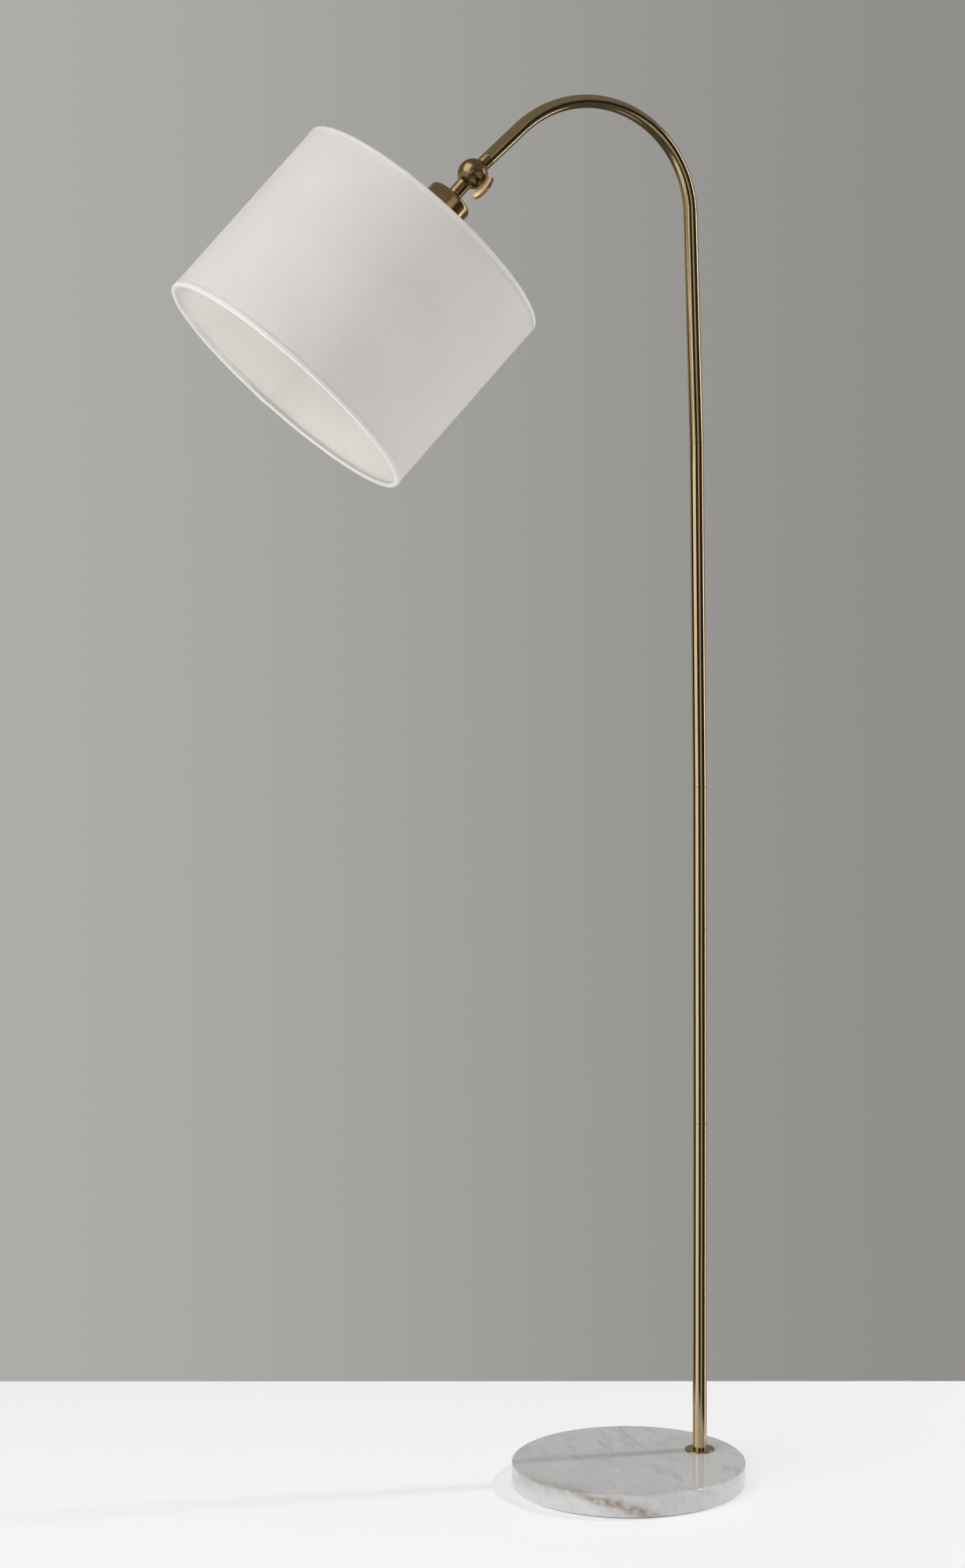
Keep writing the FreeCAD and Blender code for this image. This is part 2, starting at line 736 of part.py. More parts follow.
def bulb_glass():
    """Glass: a round end, a straight flare tangent to it, and a short neck in the screw base."""
    ball_height = contact_high + bulb_length - bulb_ball_radius
    neck_height = screw_high + bulb_neck_height
    held_from = screw_high - bulb_glass_lap
    solids = []
    for wall in (0, bulb_glass_wall):
        ball = bulb_ball_radius - wall
        neck = bulb_neck_radius - wall
        drop = ball_height - neck_height
        reach = sqrt(drop ** 2 + neck ** 2)
        lean = asin(ball / reach) - asin(neck / reach)
        touch_radius = ball * cos(lean)
        touch_height = ball_height - ball * sin(lean)
        foot = bulb_screw_radius - bulb_screw_wall - layer_gap - wall
        outline = [(0, held_from), (foot, held_from), (foot, screw_high), (neck, neck_height)]
        outline += [(touch_radius, touch_height), (0, touch_height)]
        solids.append(turned(outline).fuse(Part.makeSphere(ball, FreeCAD.Vector(0, 0, ball_height))))
    return solids[0].cut(solids[1])


def bulb_base():
    """Screw base: thin shell, and the insulating cone down to the tip."""
    wall = bulb_screw_wall
    radius = bulb_screw_radius
    bevel = bulb_base_bevel
    side_low = insulator_high + bevel
    outline = [(bulb_tip_radius, tip_high), (radius - bevel, insulator_high), (radius, side_low)]
    outline += [(radius, screw_high), (radius - wall, screw_high), (radius - wall, side_low)]
    outline += [(radius - bevel - wall, insulator_high + wall), (0, tip_high + wall), (0, tip_high)]
    return turned(outline)


def make_bulb():
    return {
        "bulb_glass": bulb_glass(),
        "bulb_base": bulb_base(),
        "bulb_tip": cylinder(bulb_tip_radius, contact_high, tip_high),
    }


# ---- the whole lamp ----
def make_lamp():
    lamp = {}
    lamp.update(make_foot())
    lamp.update(make_pole())
    lamp.update(make_swivel())
    for group in (make_head_metal(), make_shade(), make_bulb()):
        lamp.update({name: placed(shape, head_frame) for name, shape in group.items()})
    return lamp


for name, shape in make_lamp().items():
    shape.exportStep(f"parts/{name}.step")
    print(f"{name:20s} valid {shape.isValid()}  solids {len(shape.Solids)}  volume {shape.Volume:12.1f} mm3")

hinge_at = hinge_frame.Base
hinge_axis = hinge_frame.Rotation.multVec(Z_AXIS)
head_axis = head_frame.Rotation.multVec(Z_AXIS)
key_axis = head_frame.Rotation.multVec(FreeCAD.Vector(cos(radians(key_angle)), sin(radians(key_angle)), 0))
key_at = head_frame.multVec(FreeCAD.Vector(0, 0, key_height))
for label, vector in (("hinge at", hinge_at), ("hinge axis", hinge_axis), ("head axis", head_axis),
                      ("key at", key_at), ("key axis", key_axis)):
    print(f"{label:12s} {vector.x:10.5f} {vector.y:10.5f} {vector.z:10.5f}")
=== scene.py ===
# %% [markdown]
# # An arc floor lamp
# The lamp is a round marble foot, a brass pole in four lengths whose top length bends over into an arc,
# and a linen drum shade on a ball swivel. The metal and the stone arrive as finished solids. This lesson adds
# what those solids can't show: cloth, rolled tape, grain, patina and veins, and then the light to see them in.
# Everything is in metres, with +Z up and the origin under the middle of the foot.

# %% Load the solids
import json
from math import cos, hypot, pi, radians, sin

import bpy
from mathutils import Matrix, Quaternion, Vector, noise


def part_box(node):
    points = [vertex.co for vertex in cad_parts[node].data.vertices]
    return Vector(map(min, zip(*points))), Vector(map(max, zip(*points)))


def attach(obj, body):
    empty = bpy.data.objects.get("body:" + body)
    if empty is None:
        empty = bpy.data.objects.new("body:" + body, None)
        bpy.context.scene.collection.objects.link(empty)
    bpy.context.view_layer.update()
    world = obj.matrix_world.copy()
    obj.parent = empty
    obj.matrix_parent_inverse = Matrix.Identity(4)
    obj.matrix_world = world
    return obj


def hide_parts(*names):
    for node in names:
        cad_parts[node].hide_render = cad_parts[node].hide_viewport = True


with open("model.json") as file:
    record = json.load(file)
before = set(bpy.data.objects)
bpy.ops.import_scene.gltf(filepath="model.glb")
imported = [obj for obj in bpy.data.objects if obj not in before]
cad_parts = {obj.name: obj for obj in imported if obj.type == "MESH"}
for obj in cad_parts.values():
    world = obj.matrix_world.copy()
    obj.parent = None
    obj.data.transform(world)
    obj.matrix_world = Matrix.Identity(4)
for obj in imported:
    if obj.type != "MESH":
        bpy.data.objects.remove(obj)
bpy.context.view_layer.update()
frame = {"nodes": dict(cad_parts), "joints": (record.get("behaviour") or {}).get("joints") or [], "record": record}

nodes = frame["nodes"]
joints = {joint["name"]: joint for joint in frame["joints"]}
mm = 0.001

# %% [markdown]
# ## The camera
# It stands low and to one side of the lamp, a little above half the lamp's height, so that the drum shows its
# side and the inside of its mouth together. The lens is long, which keeps the pole's lines nearly parallel. A
# camera looks along its own -Z, and to_track_quat turns it to the aim point. A touch of roll levels it.

# %% The camera
camera_place = Vector((-1.84488, -3.75871, 1.32734))
camera_look = Vector((0.40252, 0.90689, -0.12459))
camera_roll = radians(-0.35)
bpy.ops.object.camera_add(location=camera_place)
camera = bpy.context.object
camera.name = "camera"
camera.rotation_mode = "QUATERNION"
camera.rotation_quaternion = camera_look.to_track_quat("-Z", "Y") @ Quaternion((0, 0, 1), camera_roll)
camera.data.sensor_width = 36
camera.data.lens = 87.1
bpy.context.scene.camera = camera
print("camera stands", round(camera_place.length, 2), "m from the foot")

# %% [markdown]
# ## The floor
# A studio floor is one pale plane. It stops just behind the lamp, where the grey backdrop would stand, and the
# world's grey fills the rest, so nothing hides the lamp from behind. A real one is flooded with light from all
# round. A little light of its own stands for that flood, and keeps the shadows on it faint.

# %% Floor
floor_size = 9.0
backdrop_distance = 0.41          # behind the foot's middle
backdrop_turn = radians(-25.1)    # the backdrop stands square to the camera
bpy.ops.mesh.primitive_plane_add(size=floor_size, location=(0, backdrop_distance - floor_size / 2, 0))
floor = bpy.context.object
floor.name = "studio_floor"
floor.matrix_world = Matrix.Rotation(backdrop_turn, 4, "Z") @ floor.matrix_world

floor_paint = bpy.data.materials.new("floor_paint")
floor_paint.use_nodes = True
coat = floor_paint.node_tree
paint = coat.nodes["Principled BSDF"]
paint.inputs["Base Color"].default_value = (0.75, 0.755, 0.77, 1)
paint.inputs["Roughness"].default_value = 0.7
paint.inputs["Emission Color"].default_value = (0.97, 0.98, 1.0, 1)
paint.inputs["Emission Strength"].default_value = 0.38
floor.data.materials.append(floor_paint)
print("floor", floor_size, "m wide, to", backdrop_distance, "m behind the foot")

# %% [markdown]
# ## Nodes in a few words
# A finish is a small tree of shader nodes, and so is the room. A few helpers keep each tree readable. The first
# adds a node and fills its sockets, and the others use it for sums, mixes, ramps and noise. A socket takes either
# a number or another node's output.

# %% Node helpers
def add(tree, kind, sockets=None, **settings):
    """A shader node. settings are its own choices, and sockets are its inputs by name or number."""
    node = tree.nodes.new("ShaderNode" + kind)
    for name, value in settings.items():
        setattr(node, name, value)
    for name, value in (sockets or {}).items():
        if isinstance(value, bpy.types.NodeSocket):
            tree.links.new(value, node.inputs[name])
        else:
            node.inputs[name].default_value = value
    return node


def sum_of(tree, operation, first, second=0.0, third=0.0):
    """One Math node's output."""
    return add(tree, "Math", {0: first, 1: second, 2: third}, operation=operation).outputs[0]


def times(tree, first, second):
    """Two values multiplied."""
    return sum_of(tree, "MULTIPLY", first, second)


def vector_sum(tree, operation, first, second=(0, 0, 0), output="Vector"):
    """One VectorMath node's output."""
    return add(tree, "VectorMath", {0: first, 1: second}, operation=operation).outputs[output]


# %% Colours, ramps and noise
def mixed(tree, share, first, second):
    """Two colours mixed by a share from 0 to 1. A colour is three numbers or an output."""
    first, second = (c if isinstance(c, bpy.types.NodeSocket) else (*c, 1) for c in (first, second))
    return add(tree, "Mix", {0: share, 6: first, 7: second}, data_type="RGBA").outputs[2]


def ramp(tree, value, low, high, to_low=0.0, to_high=1.0):
    """A value from low to high made to run smoothly from to_low to to_high, and held there beyond."""
    sockets = {"Value": value, 1: low, 2: high, 3: to_low, 4: to_high}
    return add(tree, "MapRange", sockets, interpolation_type="SMOOTHSTEP").outputs[0]


def cloud(tree, vector, scale, detail=3.0, roughness=0.55, distortion=0.0):
    """Noise from about 0.3 to 0.7."""
    sockets = {"Vector": vector, "Scale": scale, "Detail": detail, "Roughness": roughness, "Distortion": distortion}
    return add(tree, "TexNoise", sockets).outputs["Fac"]


def stretched(tree, vector, scale):
    """A vector with each part multiplied."""
    return vector_sum(tree, "MULTIPLY", vector, scale)


# %% [markdown]
# A real sweep of white paper is small, and past its edge a polished tube sees the dark room and the lower ends
# of the lights. So for mirror rays only, the floor fades out a short way from the foot.

# %% The floor in the mirror
sweep_inner, sweep_outer = 0.14, 0.30
floor_place = add(coat, "NewGeometry").outputs["Position"]
from_origin = vector_sum(coat, "LENGTH", floor_place, output="Value")
fade = add(coat, "MapRange", {"Value": from_origin, "From Min": sweep_inner, "From Max": sweep_outer})
is_mirrored = add(coat, "LightPath").outputs["Is Glossy Ray"]
share = times(coat, fade.outputs["Result"], is_mirrored)
nothing = add(coat, "BsdfTransparent").outputs[0]
either = add(coat, "MixShader", {0: share, 1: paint.outputs[0], 2: nothing}).outputs[0]
coat.links.new(either, coat.nodes["Material Output"].inputs["Surface"])
print("floor nodes", len(coat.nodes))

# %% [markdown]
# ## The light
# Polished brass has hardly any colour of its own. What the eye reads as brass is the room in it: a bright band
# for each soft box and a dark band for each gap. So the key, the strip and the front panel are placed by the
# bands they draw down the pole, and the other boxes light the cloth and the stone. The angles are taken round the
# pole, from the camera's side, with plus to the right. A box is aimed by to_track_quat, and it's hidden from the
# camera, so that it shows in the metal only.

# %% Soft boxes
ball = Vector(joints["head_tilt"]["pos_m"])
pole_foot = Vector((0.0907, 0, 0))      # where the pole stands on the stone
toward_camera = Vector((-camera_look.x, -camera_look.y, 0)).normalized()
camera_right = Vector((0, 0, 1)).cross(toward_camera)


def round_the_pole(angle, distance, height):
    """A place at an angle in degrees round the pole, from the camera's side, with plus to the right."""
    side = toward_camera * cos(radians(angle)) + camera_right * sin(radians(angle))
    return pole_foot + side * distance + Vector((0, 0, height))


def soft_box(name, place, aim, width, height, brightness, color=(1, 1, 1)):
    """A rectangular soft box at a place, aimed at a point. Its power follows from its size and brightness."""
    bpy.ops.object.light_add(type="AREA", location=place)
    box = bpy.context.object
    box.name = name
    box.data.shape = "RECTANGLE"
    box.data.size = width
    box.data.size_y = height
    box.data.energy = brightness * pi * width * height
    box.data.color = color
    box.visible_camera = False
    box.rotation_mode = "QUATERNION"
    box.rotation_quaternion = (Vector(aim) - place).to_track_quat("-Z", "Y")
    print(f"{name}: {box.data.energy:.0f} W")
    return box


def upright_box(name, angle, distance, width, low, high, brightness, color=(1, 1, 1)):
    """A box that stands upright round the pole, from one height to another."""
    place = round_the_pole(angle, distance, (low + high) / 2)
    aim = (pole_foot.x, pole_foot.y, place.z)
    return soft_box(name, place, aim, width, high - low, brightness, color)


# %% Place the boxes
upright_box("key_box", angle=-50, distance=2.6, width=2.3, low=-0.9, high=2.7, brightness=1.12,
            color=(1.0, 0.985, 0.965))
upright_box("strip_box", angle=97, distance=1.9, width=0.5, low=-0.7, high=2.5, brightness=2.4)
upright_box("front_panel", angle=24, distance=2.8, width=1.15, low=-0.9, high=2.5, brightness=0.52,
            color=(1.0, 0.90, 0.82))

mid_lamp = (-0.3, 0, 0.9)         # under the drum, halfway up
high_box = soft_box("high_box", round_the_pole(-60, 1.8, 3.0), mid_lamp, width=2.0, height=2.0, brightness=1.75)
fill_box = upright_box("fill_box", angle=-15, distance=3.2, width=2.6, low=0.3, high=2.2, brightness=0.5,
                       color=(1.0, 0.93, 0.87))
low_box = upright_box("low_box", angle=-75, distance=2.4, width=1.6, low=0.1, high=1.2, brightness=1.1)
back_box = upright_box("back_box", angle=165, distance=2.6, width=2.2, low=1.9, high=3.2, brightness=1.0)
shadow_box = soft_box("shadow_box", round_the_pole(101, 1.95, 2.35), (0, 0, 0), width=0.14, height=0.14,
                      brightness=290)
paddle_panel = soft_box("paddle_panel", round_the_pole(-152, 2.36, 2.40), ball, width=1.7, height=1.3,
                        brightness=2.6, color=(1.0, 0.93, 0.82))

# %% [markdown]
# ## The room in the brass
# The high box, the fill, low and back boxes, and the small box that throws the pole's fine shadow would each draw
# a line over the arc that a dim studio doesn't. Light linking keeps them to the stone, cloth and floor. The high
# box also lights the ball, and the panel behind lights only the thumb paddle, which would otherwise reflect the
# dim ceiling. The rest of the room is the world: grey behind the lamp and overhead, and dark on the camera's side
# and below. The backdrop that the camera sees is a little lighter on the left.

# %% World
stone_and_cloth = bpy.data.collections.new("lit_by_the_fills")
lit_from_above = bpy.data.collections.new("lit_from_above")
lit_from_above.children.link(stone_and_cloth)
paddle_only = bpy.data.collections.new("lit_from_behind")
for box in (fill_box, low_box, back_box, shadow_box):
    box.light_linking.receiver_collection = stone_and_cloth
high_box.light_linking.receiver_collection = lit_from_above
paddle_panel.light_linking.receiver_collection = paddle_only
stone_and_cloth.objects.link(floor)

world = bpy.data.worlds.new("studio_world")
bpy.context.scene.world = world
world.use_nodes = True
air = world.node_tree
direction = add(air, "TexCoord").outputs["Generated"]


def facing(toward, low, high):
    """From 0 to 1 as the direction turns towards one way."""
    return ramp(air, vector_sum(air, "DOT_PRODUCT", direction, toward, "Value"), low, high)


backdrop = mixed(air, facing(camera_right, -0.15, 0.15), (0.43, 0.42, 0.40), (0.275, 0.268, 0.258))
room = mixed(air, facing(-toward_camera, 0.30, 0.45), (0.020, 0.019, 0.018), (0.335, 0.325, 0.312))
room = mixed(air, facing((0, 0, 1), 0.22, 0.50), room, (0.21, 0.20, 0.185))
room = mixed(air, facing((0, 0, -1), 0.25, 0.45), room, (0.09, 0.085, 0.08))
is_seen = add(air, "LightPath").outputs["Is Camera Ray"]
air.links.new(mixed(air, is_seen, room, backdrop), air.nodes["Background"].inputs["Color"])
bpy.context.scene.view_settings.view_transform = "Standard"
print("world nodes", len(air.nodes))

# %% [markdown]
# ## Where the head is
# The drum, cup and bulb share one axis that runs from the swivel's ball down through the shade. The swivel's joint
# gives the ball's centre, and the switch key's joint gives a second point on that axis and a direction square to
# it. Those three make the head's own frame, in which the drum stands upright and is easy to build.

# %% The head's frame
down_axis = (Vector(joints["switch_key_turn"]["pos_m"]) - ball).normalized()
key_side = Vector(joints["switch_key_turn"]["axis"]).normalized()
key_side = (key_side - key_side.dot(down_axis) * down_axis).normalized()
third_side = down_axis.cross(key_side)
head = Matrix.Translation(ball) @ Matrix((key_side, third_side, down_axis)).transposed().to_4x4()
from_head = head.inverted()


def drum_size(node):
    """Smallest and largest radius, and lowest and highest place along the head's axis, of a solid on it."""
    points = [from_head @ vertex.co for vertex in nodes[node].data.vertices]
    reach = [hypot(point.x, point.y) for point in points]
    return min(reach), max(reach), min(point.z for point in points), max(point.z for point in points)


linen_out, linen_top, linen_bottom = drum_size("shade_fabric")[1:]
film_in = drum_size("shade_liner")[0]
hem_out, shade_bottom = drum_size("bottom_hem")[1::2]
shade_top = drum_size("top_hem")[2]
wire_in, wire_out = drum_size("bottom_wire")[:2]
print(f"linen radius {linen_out / mm:.1f} mm, from {linen_top / mm:.1f} to {linen_bottom / mm:.1f} mm")

# %% [markdown]
# ## Cloth from a flat cut
# The shade is a rectangle of linen bonded to a rectangle of cream film and rolled into a drum, so both pieces
# are made that way here: a flat grid whose every point has a place on the cut and a place on the roll. The cut's
# place becomes the UV map, in metres, and the weave then has its true size everywhere. Mesh code suits this
# better than a cylinder primitive, because the end of the roll laps over its start.

# %% Sheets
def smooth_step(share):
    """A share from 0 to 1 that leaves 0 and reaches 1 gently."""
    share = min(max(share, 0.0), 1.0)
    return share * share * (3 - 2 * share)


def make_sheet(name, columns, rows, place, cut):
    """A grid. place(i, j) is a point in the head's frame, and cut(i, j) the same point on the flat cut."""
    points = [head @ Vector(place(i, j)) for j in range(rows + 1) for i in range(columns + 1)]
    wide = columns + 1
    faces = [
        (j * wide + i, j * wide + i + 1, (j + 1) * wide + i + 1, (j + 1) * wide + i)
        for j in range(rows) for i in range(columns)
    ]
    mesh = bpy.data.meshes.new(name)
    mesh.from_pydata(points, [], faces)
    on_cut = mesh.uv_layers.new(name="cut")
    for loop in mesh.loops:
        on_cut.data[loop.index].uv = cut(loop.vertex_index % wide, loop.vertex_index // wide)
    sheet = bpy.data.objects.new(name, mesh)
    bpy.context.scene.collection.objects.link(sheet)
    return sheet


sharp_cloth = radians(50)         # a cut edge turns more sharply than any fold


def give_thickness(sheet, thickness):
    """Solidify a sheet to both sides, apply it, and smooth all but the cut edges."""
    bpy.ops.object.select_all(action="DESELECT")
    bpy.context.view_layer.objects.active = sheet
    sheet.select_set(True)
    wall = sheet.modifiers.new("thickness", "SOLIDIFY")
    wall.thickness = thickness
    wall.offset = 0
    bpy.ops.object.modifier_apply(modifier=wall.name)
    bpy.ops.object.shade_smooth_by_angle(angle=sharp_cloth)
    print(sheet.name, "has", len(sheet.data.polygons), "faces")


# %% [markdown]
# ## Linen and film
# Each layer starts at the seam, goes once round and laps 12 mm over its own start. The linen's lap is on the
# outside and the film's on the inside, which is why the seam shows as a faint step within the shade. A slow
# ripple of a tenth of a millimetre keeps the drum from looking like turned plastic.

# %% Roll the drum
seam_angle = radians(330)         # from the switch key's side
lap = 12 * mm
lap_rise = 5 * mm                 # the length over which the end climbs onto the start
hem_room = 2.05 * mm              # the layers stop under the tape's fold
slow, slight = 0.35, 0.10 * mm    # the ripple's length, as a share of the radius, and its height


def ripple(x, y, z, size, height):
    """A slow unevenness, the same at the same place every time."""
    return height * noise.noise(Vector((x, y, z)) / size)


def rolled_layer(name, radius, lift, thickness, columns, rows):
    """A layer of the drum at a radius. Its end lifts over its start, outwards for a positive lift."""
    around = 2 * pi + lap / radius
    top, bottom = shade_top + hem_room, shade_bottom - hem_room

    def place(i, j):
        turned = around * i / columns
        climb = smooth_step((turned - 2 * pi) * radius / lap_rise + 1)
        angle = seam_angle + turned
        z = top + (bottom - top) * j / rows
        at = radius + lift * climb
        at += ripple(cos(angle), sin(angle), z / radius, slow, slight)
        return at * cos(angle), at * sin(angle), z

    def cut(i, j):
        return around * radius * i / columns, (bottom - top) * j / rows

    sheet = make_sheet(name, columns, rows, place, cut)
    give_thickness(sheet, thickness)
    return sheet, (bottom - top, around * radius)


# %% Roll both layers
linen_cover, linen_cut = rolled_layer("linen_cover", linen_out - 0.25 * mm, lift=0.42 * mm,
                                      thickness=0.35 * mm, columns=420, rows=48)
backing_film, film_cut = rolled_layer("backing_film", linen_out - 0.80 * mm, lift=-0.40 * mm,
                                      thickness=0.32 * mm, columns=420, rows=24)
print("linen cut", [round(side, 4) for side in linen_cut], "film cut", [round(side, 4) for side in film_cut])

# %% [markdown]
# ## The bound edges
# Each rim of the drum is a wire ring with a linen tape folded round it: down the outside, round the wire, and
# back to the film on the inside. The tape isn't a moulding. Its edges wander a little, it's thicker where it
# passes over the linen's seam, and its own end laps over its start. So it's a second flat cut, whose
# cross-section is a list of (radius, depth from the edge) points, followed round the rim.

# %% Tape
tape_thick = 0.45 * mm
fold_radius = 1.8 * mm            # round the wire, in the tape's middle
fold_depth = 2.05 * mm            # edge to the wire's centre
wire_at = (wire_in + wire_out) / 2
outer_face = hem_out - tape_thick / 2
leg_steps, fold_steps, inner_steps = 5, 6, 10
round_wire = radians(50)          # how far the tape goes on round the wire, past its inner side
glue = 0.05 * mm
film_touch = film_in - tape_thick / 2 - glue


def down_inside(gone):
    """The tape a distance past the wire's inner side: on round the wire, out to the film, then along it."""
    turn = pi / 2 + min(gone / fold_radius, round_wire)
    r, depth = wire_at - fold_radius * sin(turn), fold_depth - fold_radius * cos(turn)
    straight = max(gone - fold_radius * round_wire, 0.0)
    slanted = min(straight, (film_touch - r) / -cos(turn))
    return r - slanted * cos(turn), depth + slanted * sin(turn) + straight - slanted


def tape_profile(outside, inside):
    """The tape's middle line across its width, from the raw edge outside to the raw edge inside."""
    line = [(outer_face, outside + (fold_depth - outside) * k / leg_steps) for k in range(leg_steps)]
    for k in range(fold_steps + 1):
        turn = pi / 2 * k / fold_steps
        line.append((outer_face - fold_radius * (1 - cos(turn)), fold_depth - fold_radius * sin(turn)))
    for k in range(fold_steps + 1):
        turn = pi / 2 * k / fold_steps
        line.append((wire_at - fold_radius * sin(turn), fold_depth - fold_radius * cos(turn)))
    line += [down_inside((inside - fold_depth) * k / inner_steps) for k in range(1, inner_steps + 1)]
    return line


def running_length(line):
    """The distance along a line of points to each of them."""
    gone = [0.0]
    for (r0, z0), (r1, z1) in zip(line, line[1:]):
        gone.append(gone[-1] + hypot(r1 - r0, z1 - z0))
    return gone


# %% [markdown]
# The tape runs once round and laps 9 mm over its own start. On the upper rim the fitter's three arms come through
# it, so its inside leg is slit nearly back to the wire round each arm.

# %% Bind a rim
tape_lap = 9 * mm
tape_start = radians(173)         # from the switch key's side
tape_columns = 900
arm_half = 2.3 * mm               # half the slit round an arm
least_leg = 0.04                  # the share of the inside leg that is left in a slit
lap_room = 0.08 * mm              # between the tape's end and its start
seam_swell, seam_reach = 0.7 * mm, 7 * mm      # the bump over the linen's seam
seam_flat = 0.6                   # the share of the reach at full height


def apart(angle, other):
    """The smaller angle between two directions."""
    return abs((angle - other + pi) % (2 * pi) - pi)


def bound_edge(name, edge, inward, outside, inside, arms=()):
    """Tape round a rim. inward is +1 where the drum lies above the edge in the head's frame, and -1 below."""
    around = 2 * pi + tape_lap / hem_out
    steps = len(tape_profile(outside, inside))
    middle_radius = (outer_face + wire_at - fold_radius) / 2

    def place(i, j):
        turned = around * i / tape_columns
        angle = tape_start + turned
        x, y = cos(angle), sin(angle)
        leg = inside + ripple(x, y, inward, size=0.11, height=0.6 * mm)
        near = min((apart(angle, arm) for arm in arms), default=pi) * wire_at
        leg = fold_depth + (leg - fold_depth) * max(least_leg, smooth_step((near - arm_half) / mm))
        raw_edge = outside + ripple(x, y, 5 * inward, size=0.09, height=0.5 * mm)
        line = tape_profile(raw_edge, leg)
        r, depth = line[j]
        before, after = line[max(j - 1, 0)], line[min(j + 1, steps - 1)]
        along = Vector((after[0] - before[0], after[1] - before[1])).normalized()
        swell = (tape_thick + lap_room) * smooth_step((turned - 2 * pi) * hem_out / lap_rise + 1)
        over_seam = apart(angle, seam_angle + lap / 2 / linen_out) * linen_out
        swell += seam_swell * smooth_step(1 + seam_flat - over_seam / seam_reach) * (1 - j / (steps - 1))
        swell += ripple(x, y, depth / (3 * mm) + 9 * inward, size=0.07, height=0.12 * mm)
        r, depth = r - swell * along.y, depth + swell * along.x
        return r * x, r * y, edge + inward * depth

    flat_line = running_length(tape_profile(outside, inside))

    def cut(i, j):
        return around * middle_radius * i / tape_columns, flat_line[j]

    sheet = make_sheet(name, tape_columns, steps - 1, place, cut)
    if inward > 0:
        sheet.data.flip_normals()
    give_thickness(sheet, tape_thick)
    return sheet, (flat_line[-1], around * middle_radius)


# %% Bind both rims
arm_angles = [radians(-30 + 120 * arm) for arm in range(3)]
bottom_binding, bottom_cut = bound_edge("bottom_binding", shade_bottom, -1, outside=5 * mm, inside=7.5 * mm)
top_binding, top_cut = bound_edge("top_binding", shade_top, 1, outside=5 * mm, inside=5 * mm, arms=arm_angles)
print("tape cuts", [round(side, 4) for side in bottom_cut], [round(side, 4) for side in top_cut])

# %% [markdown]
# ## What the sheets are
# Each sheet moves with the head's body and hides the solid it stands for. The linen and film are stretched on the
# wire rings, and the tapes are folded over them.

for sheet, solid, finish in (
    (linen_cover, "shade_fabric", "shade_linen"),
    (backing_film, "shade_liner", "shade_backing"),
    (top_binding, "top_hem", "shade_linen"),
    (bottom_binding, "bottom_hem", "shade_linen"),
):
    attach(sheet, "head")
    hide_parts(solid)

# %% [markdown]
# ## The foam pad
# The foot stands on a thin disc of black foam that is stuck to the stone. Under the stone's weight its edge
# bulges a little and its corners are round, which a sharp solid disc doesn't show. A cylinder is added at the
# pad's size, its wall is cut in two and let out, and the rims are rounded with a bevel.

# %% Foam pad
pad_low, pad_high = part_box("base_pad")
pad_radius = (pad_high.x - pad_low.x) / 2
pad_height = pad_high.z - pad_low.z
pad_middle = pad_low.z + pad_height / 2
let_out, rim_radius, sharp_foam = 0.5 * mm, 0.45 * mm, radians(40)
bpy.ops.object.select_all(action="DESELECT")
bpy.ops.mesh.primitive_cylinder_add(
    vertices=192, radius=pad_radius, depth=pad_height, end_fill_type="NGON", location=(0, 0, pad_middle))
foam_pad = bpy.context.object
foam_pad.name = "foam_pad"
foam_pad.data.name = "foam_pad"
bpy.ops.object.transform_apply(location=True, rotation=False, scale=False)

bpy.ops.object.mode_set(mode="EDIT")
bpy.ops.mesh.select_all(action="SELECT")
bpy.ops.mesh.bisect(plane_co=(0, 0, pad_middle), plane_no=(0, 0, 1))
bulge = 1 + let_out / pad_radius
bpy.ops.transform.resize(value=(bulge, bulge, 1), center_override=(0, 0, 0))
bpy.ops.object.mode_set(mode="OBJECT")
soften = foam_pad.modifiers.new("soft_rims", "BEVEL")
soften.width = rim_radius
soften.segments = 3
soften.limit_method = "ANGLE"
soften.angle_limit = sharp_foam
bpy.ops.object.modifier_apply(modifier=soften.name)
bpy.ops.object.shade_smooth_by_angle(angle=sharp_foam)
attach(foam_pad, "stand")
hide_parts("base_pad")
print("foam pad", round(pad_radius / mm, 1), "mm in radius,", round(pad_height / mm, 1), "mm thick")

# %% [markdown]
# ## Materials and groups
# A material starts from its main shader, and each finish ends with the same links: colour, roughness and bump. A
# node group is a small tree that many materials share, each with its own values.

# %% Materials and groups
def new_finish(name, metallic=0.0, **constants):
    """A material with its tree and main shader. constants go straight on the shader's own sockets."""
    finish = bpy.data.materials.new(name)
    finish.use_nodes = True
    shader = finish.node_tree.nodes["Principled BSDF"]
    shader.inputs["Metallic"].default_value = metallic
    for socket, value in constants.items():
        shader.inputs[socket.replace("_", " ").title().replace("Ior", "IOR")].default_value = value
    return finish, finish.node_tree, shader


def finish_with(tree, shader, color, roughness, height, depth):
    """Links a colour, a roughness and a bump of some depth in metres to the shader."""
    tree.links.new(color, shader.inputs["Base Color"])
    tree.links.new(roughness, shader.inputs["Roughness"])
    bump = add(tree, "Bump", {"Height": height, "Distance": depth, "Strength": 1.0})
    tree.links.new(bump.outputs["Normal"], shader.inputs["Normal"])


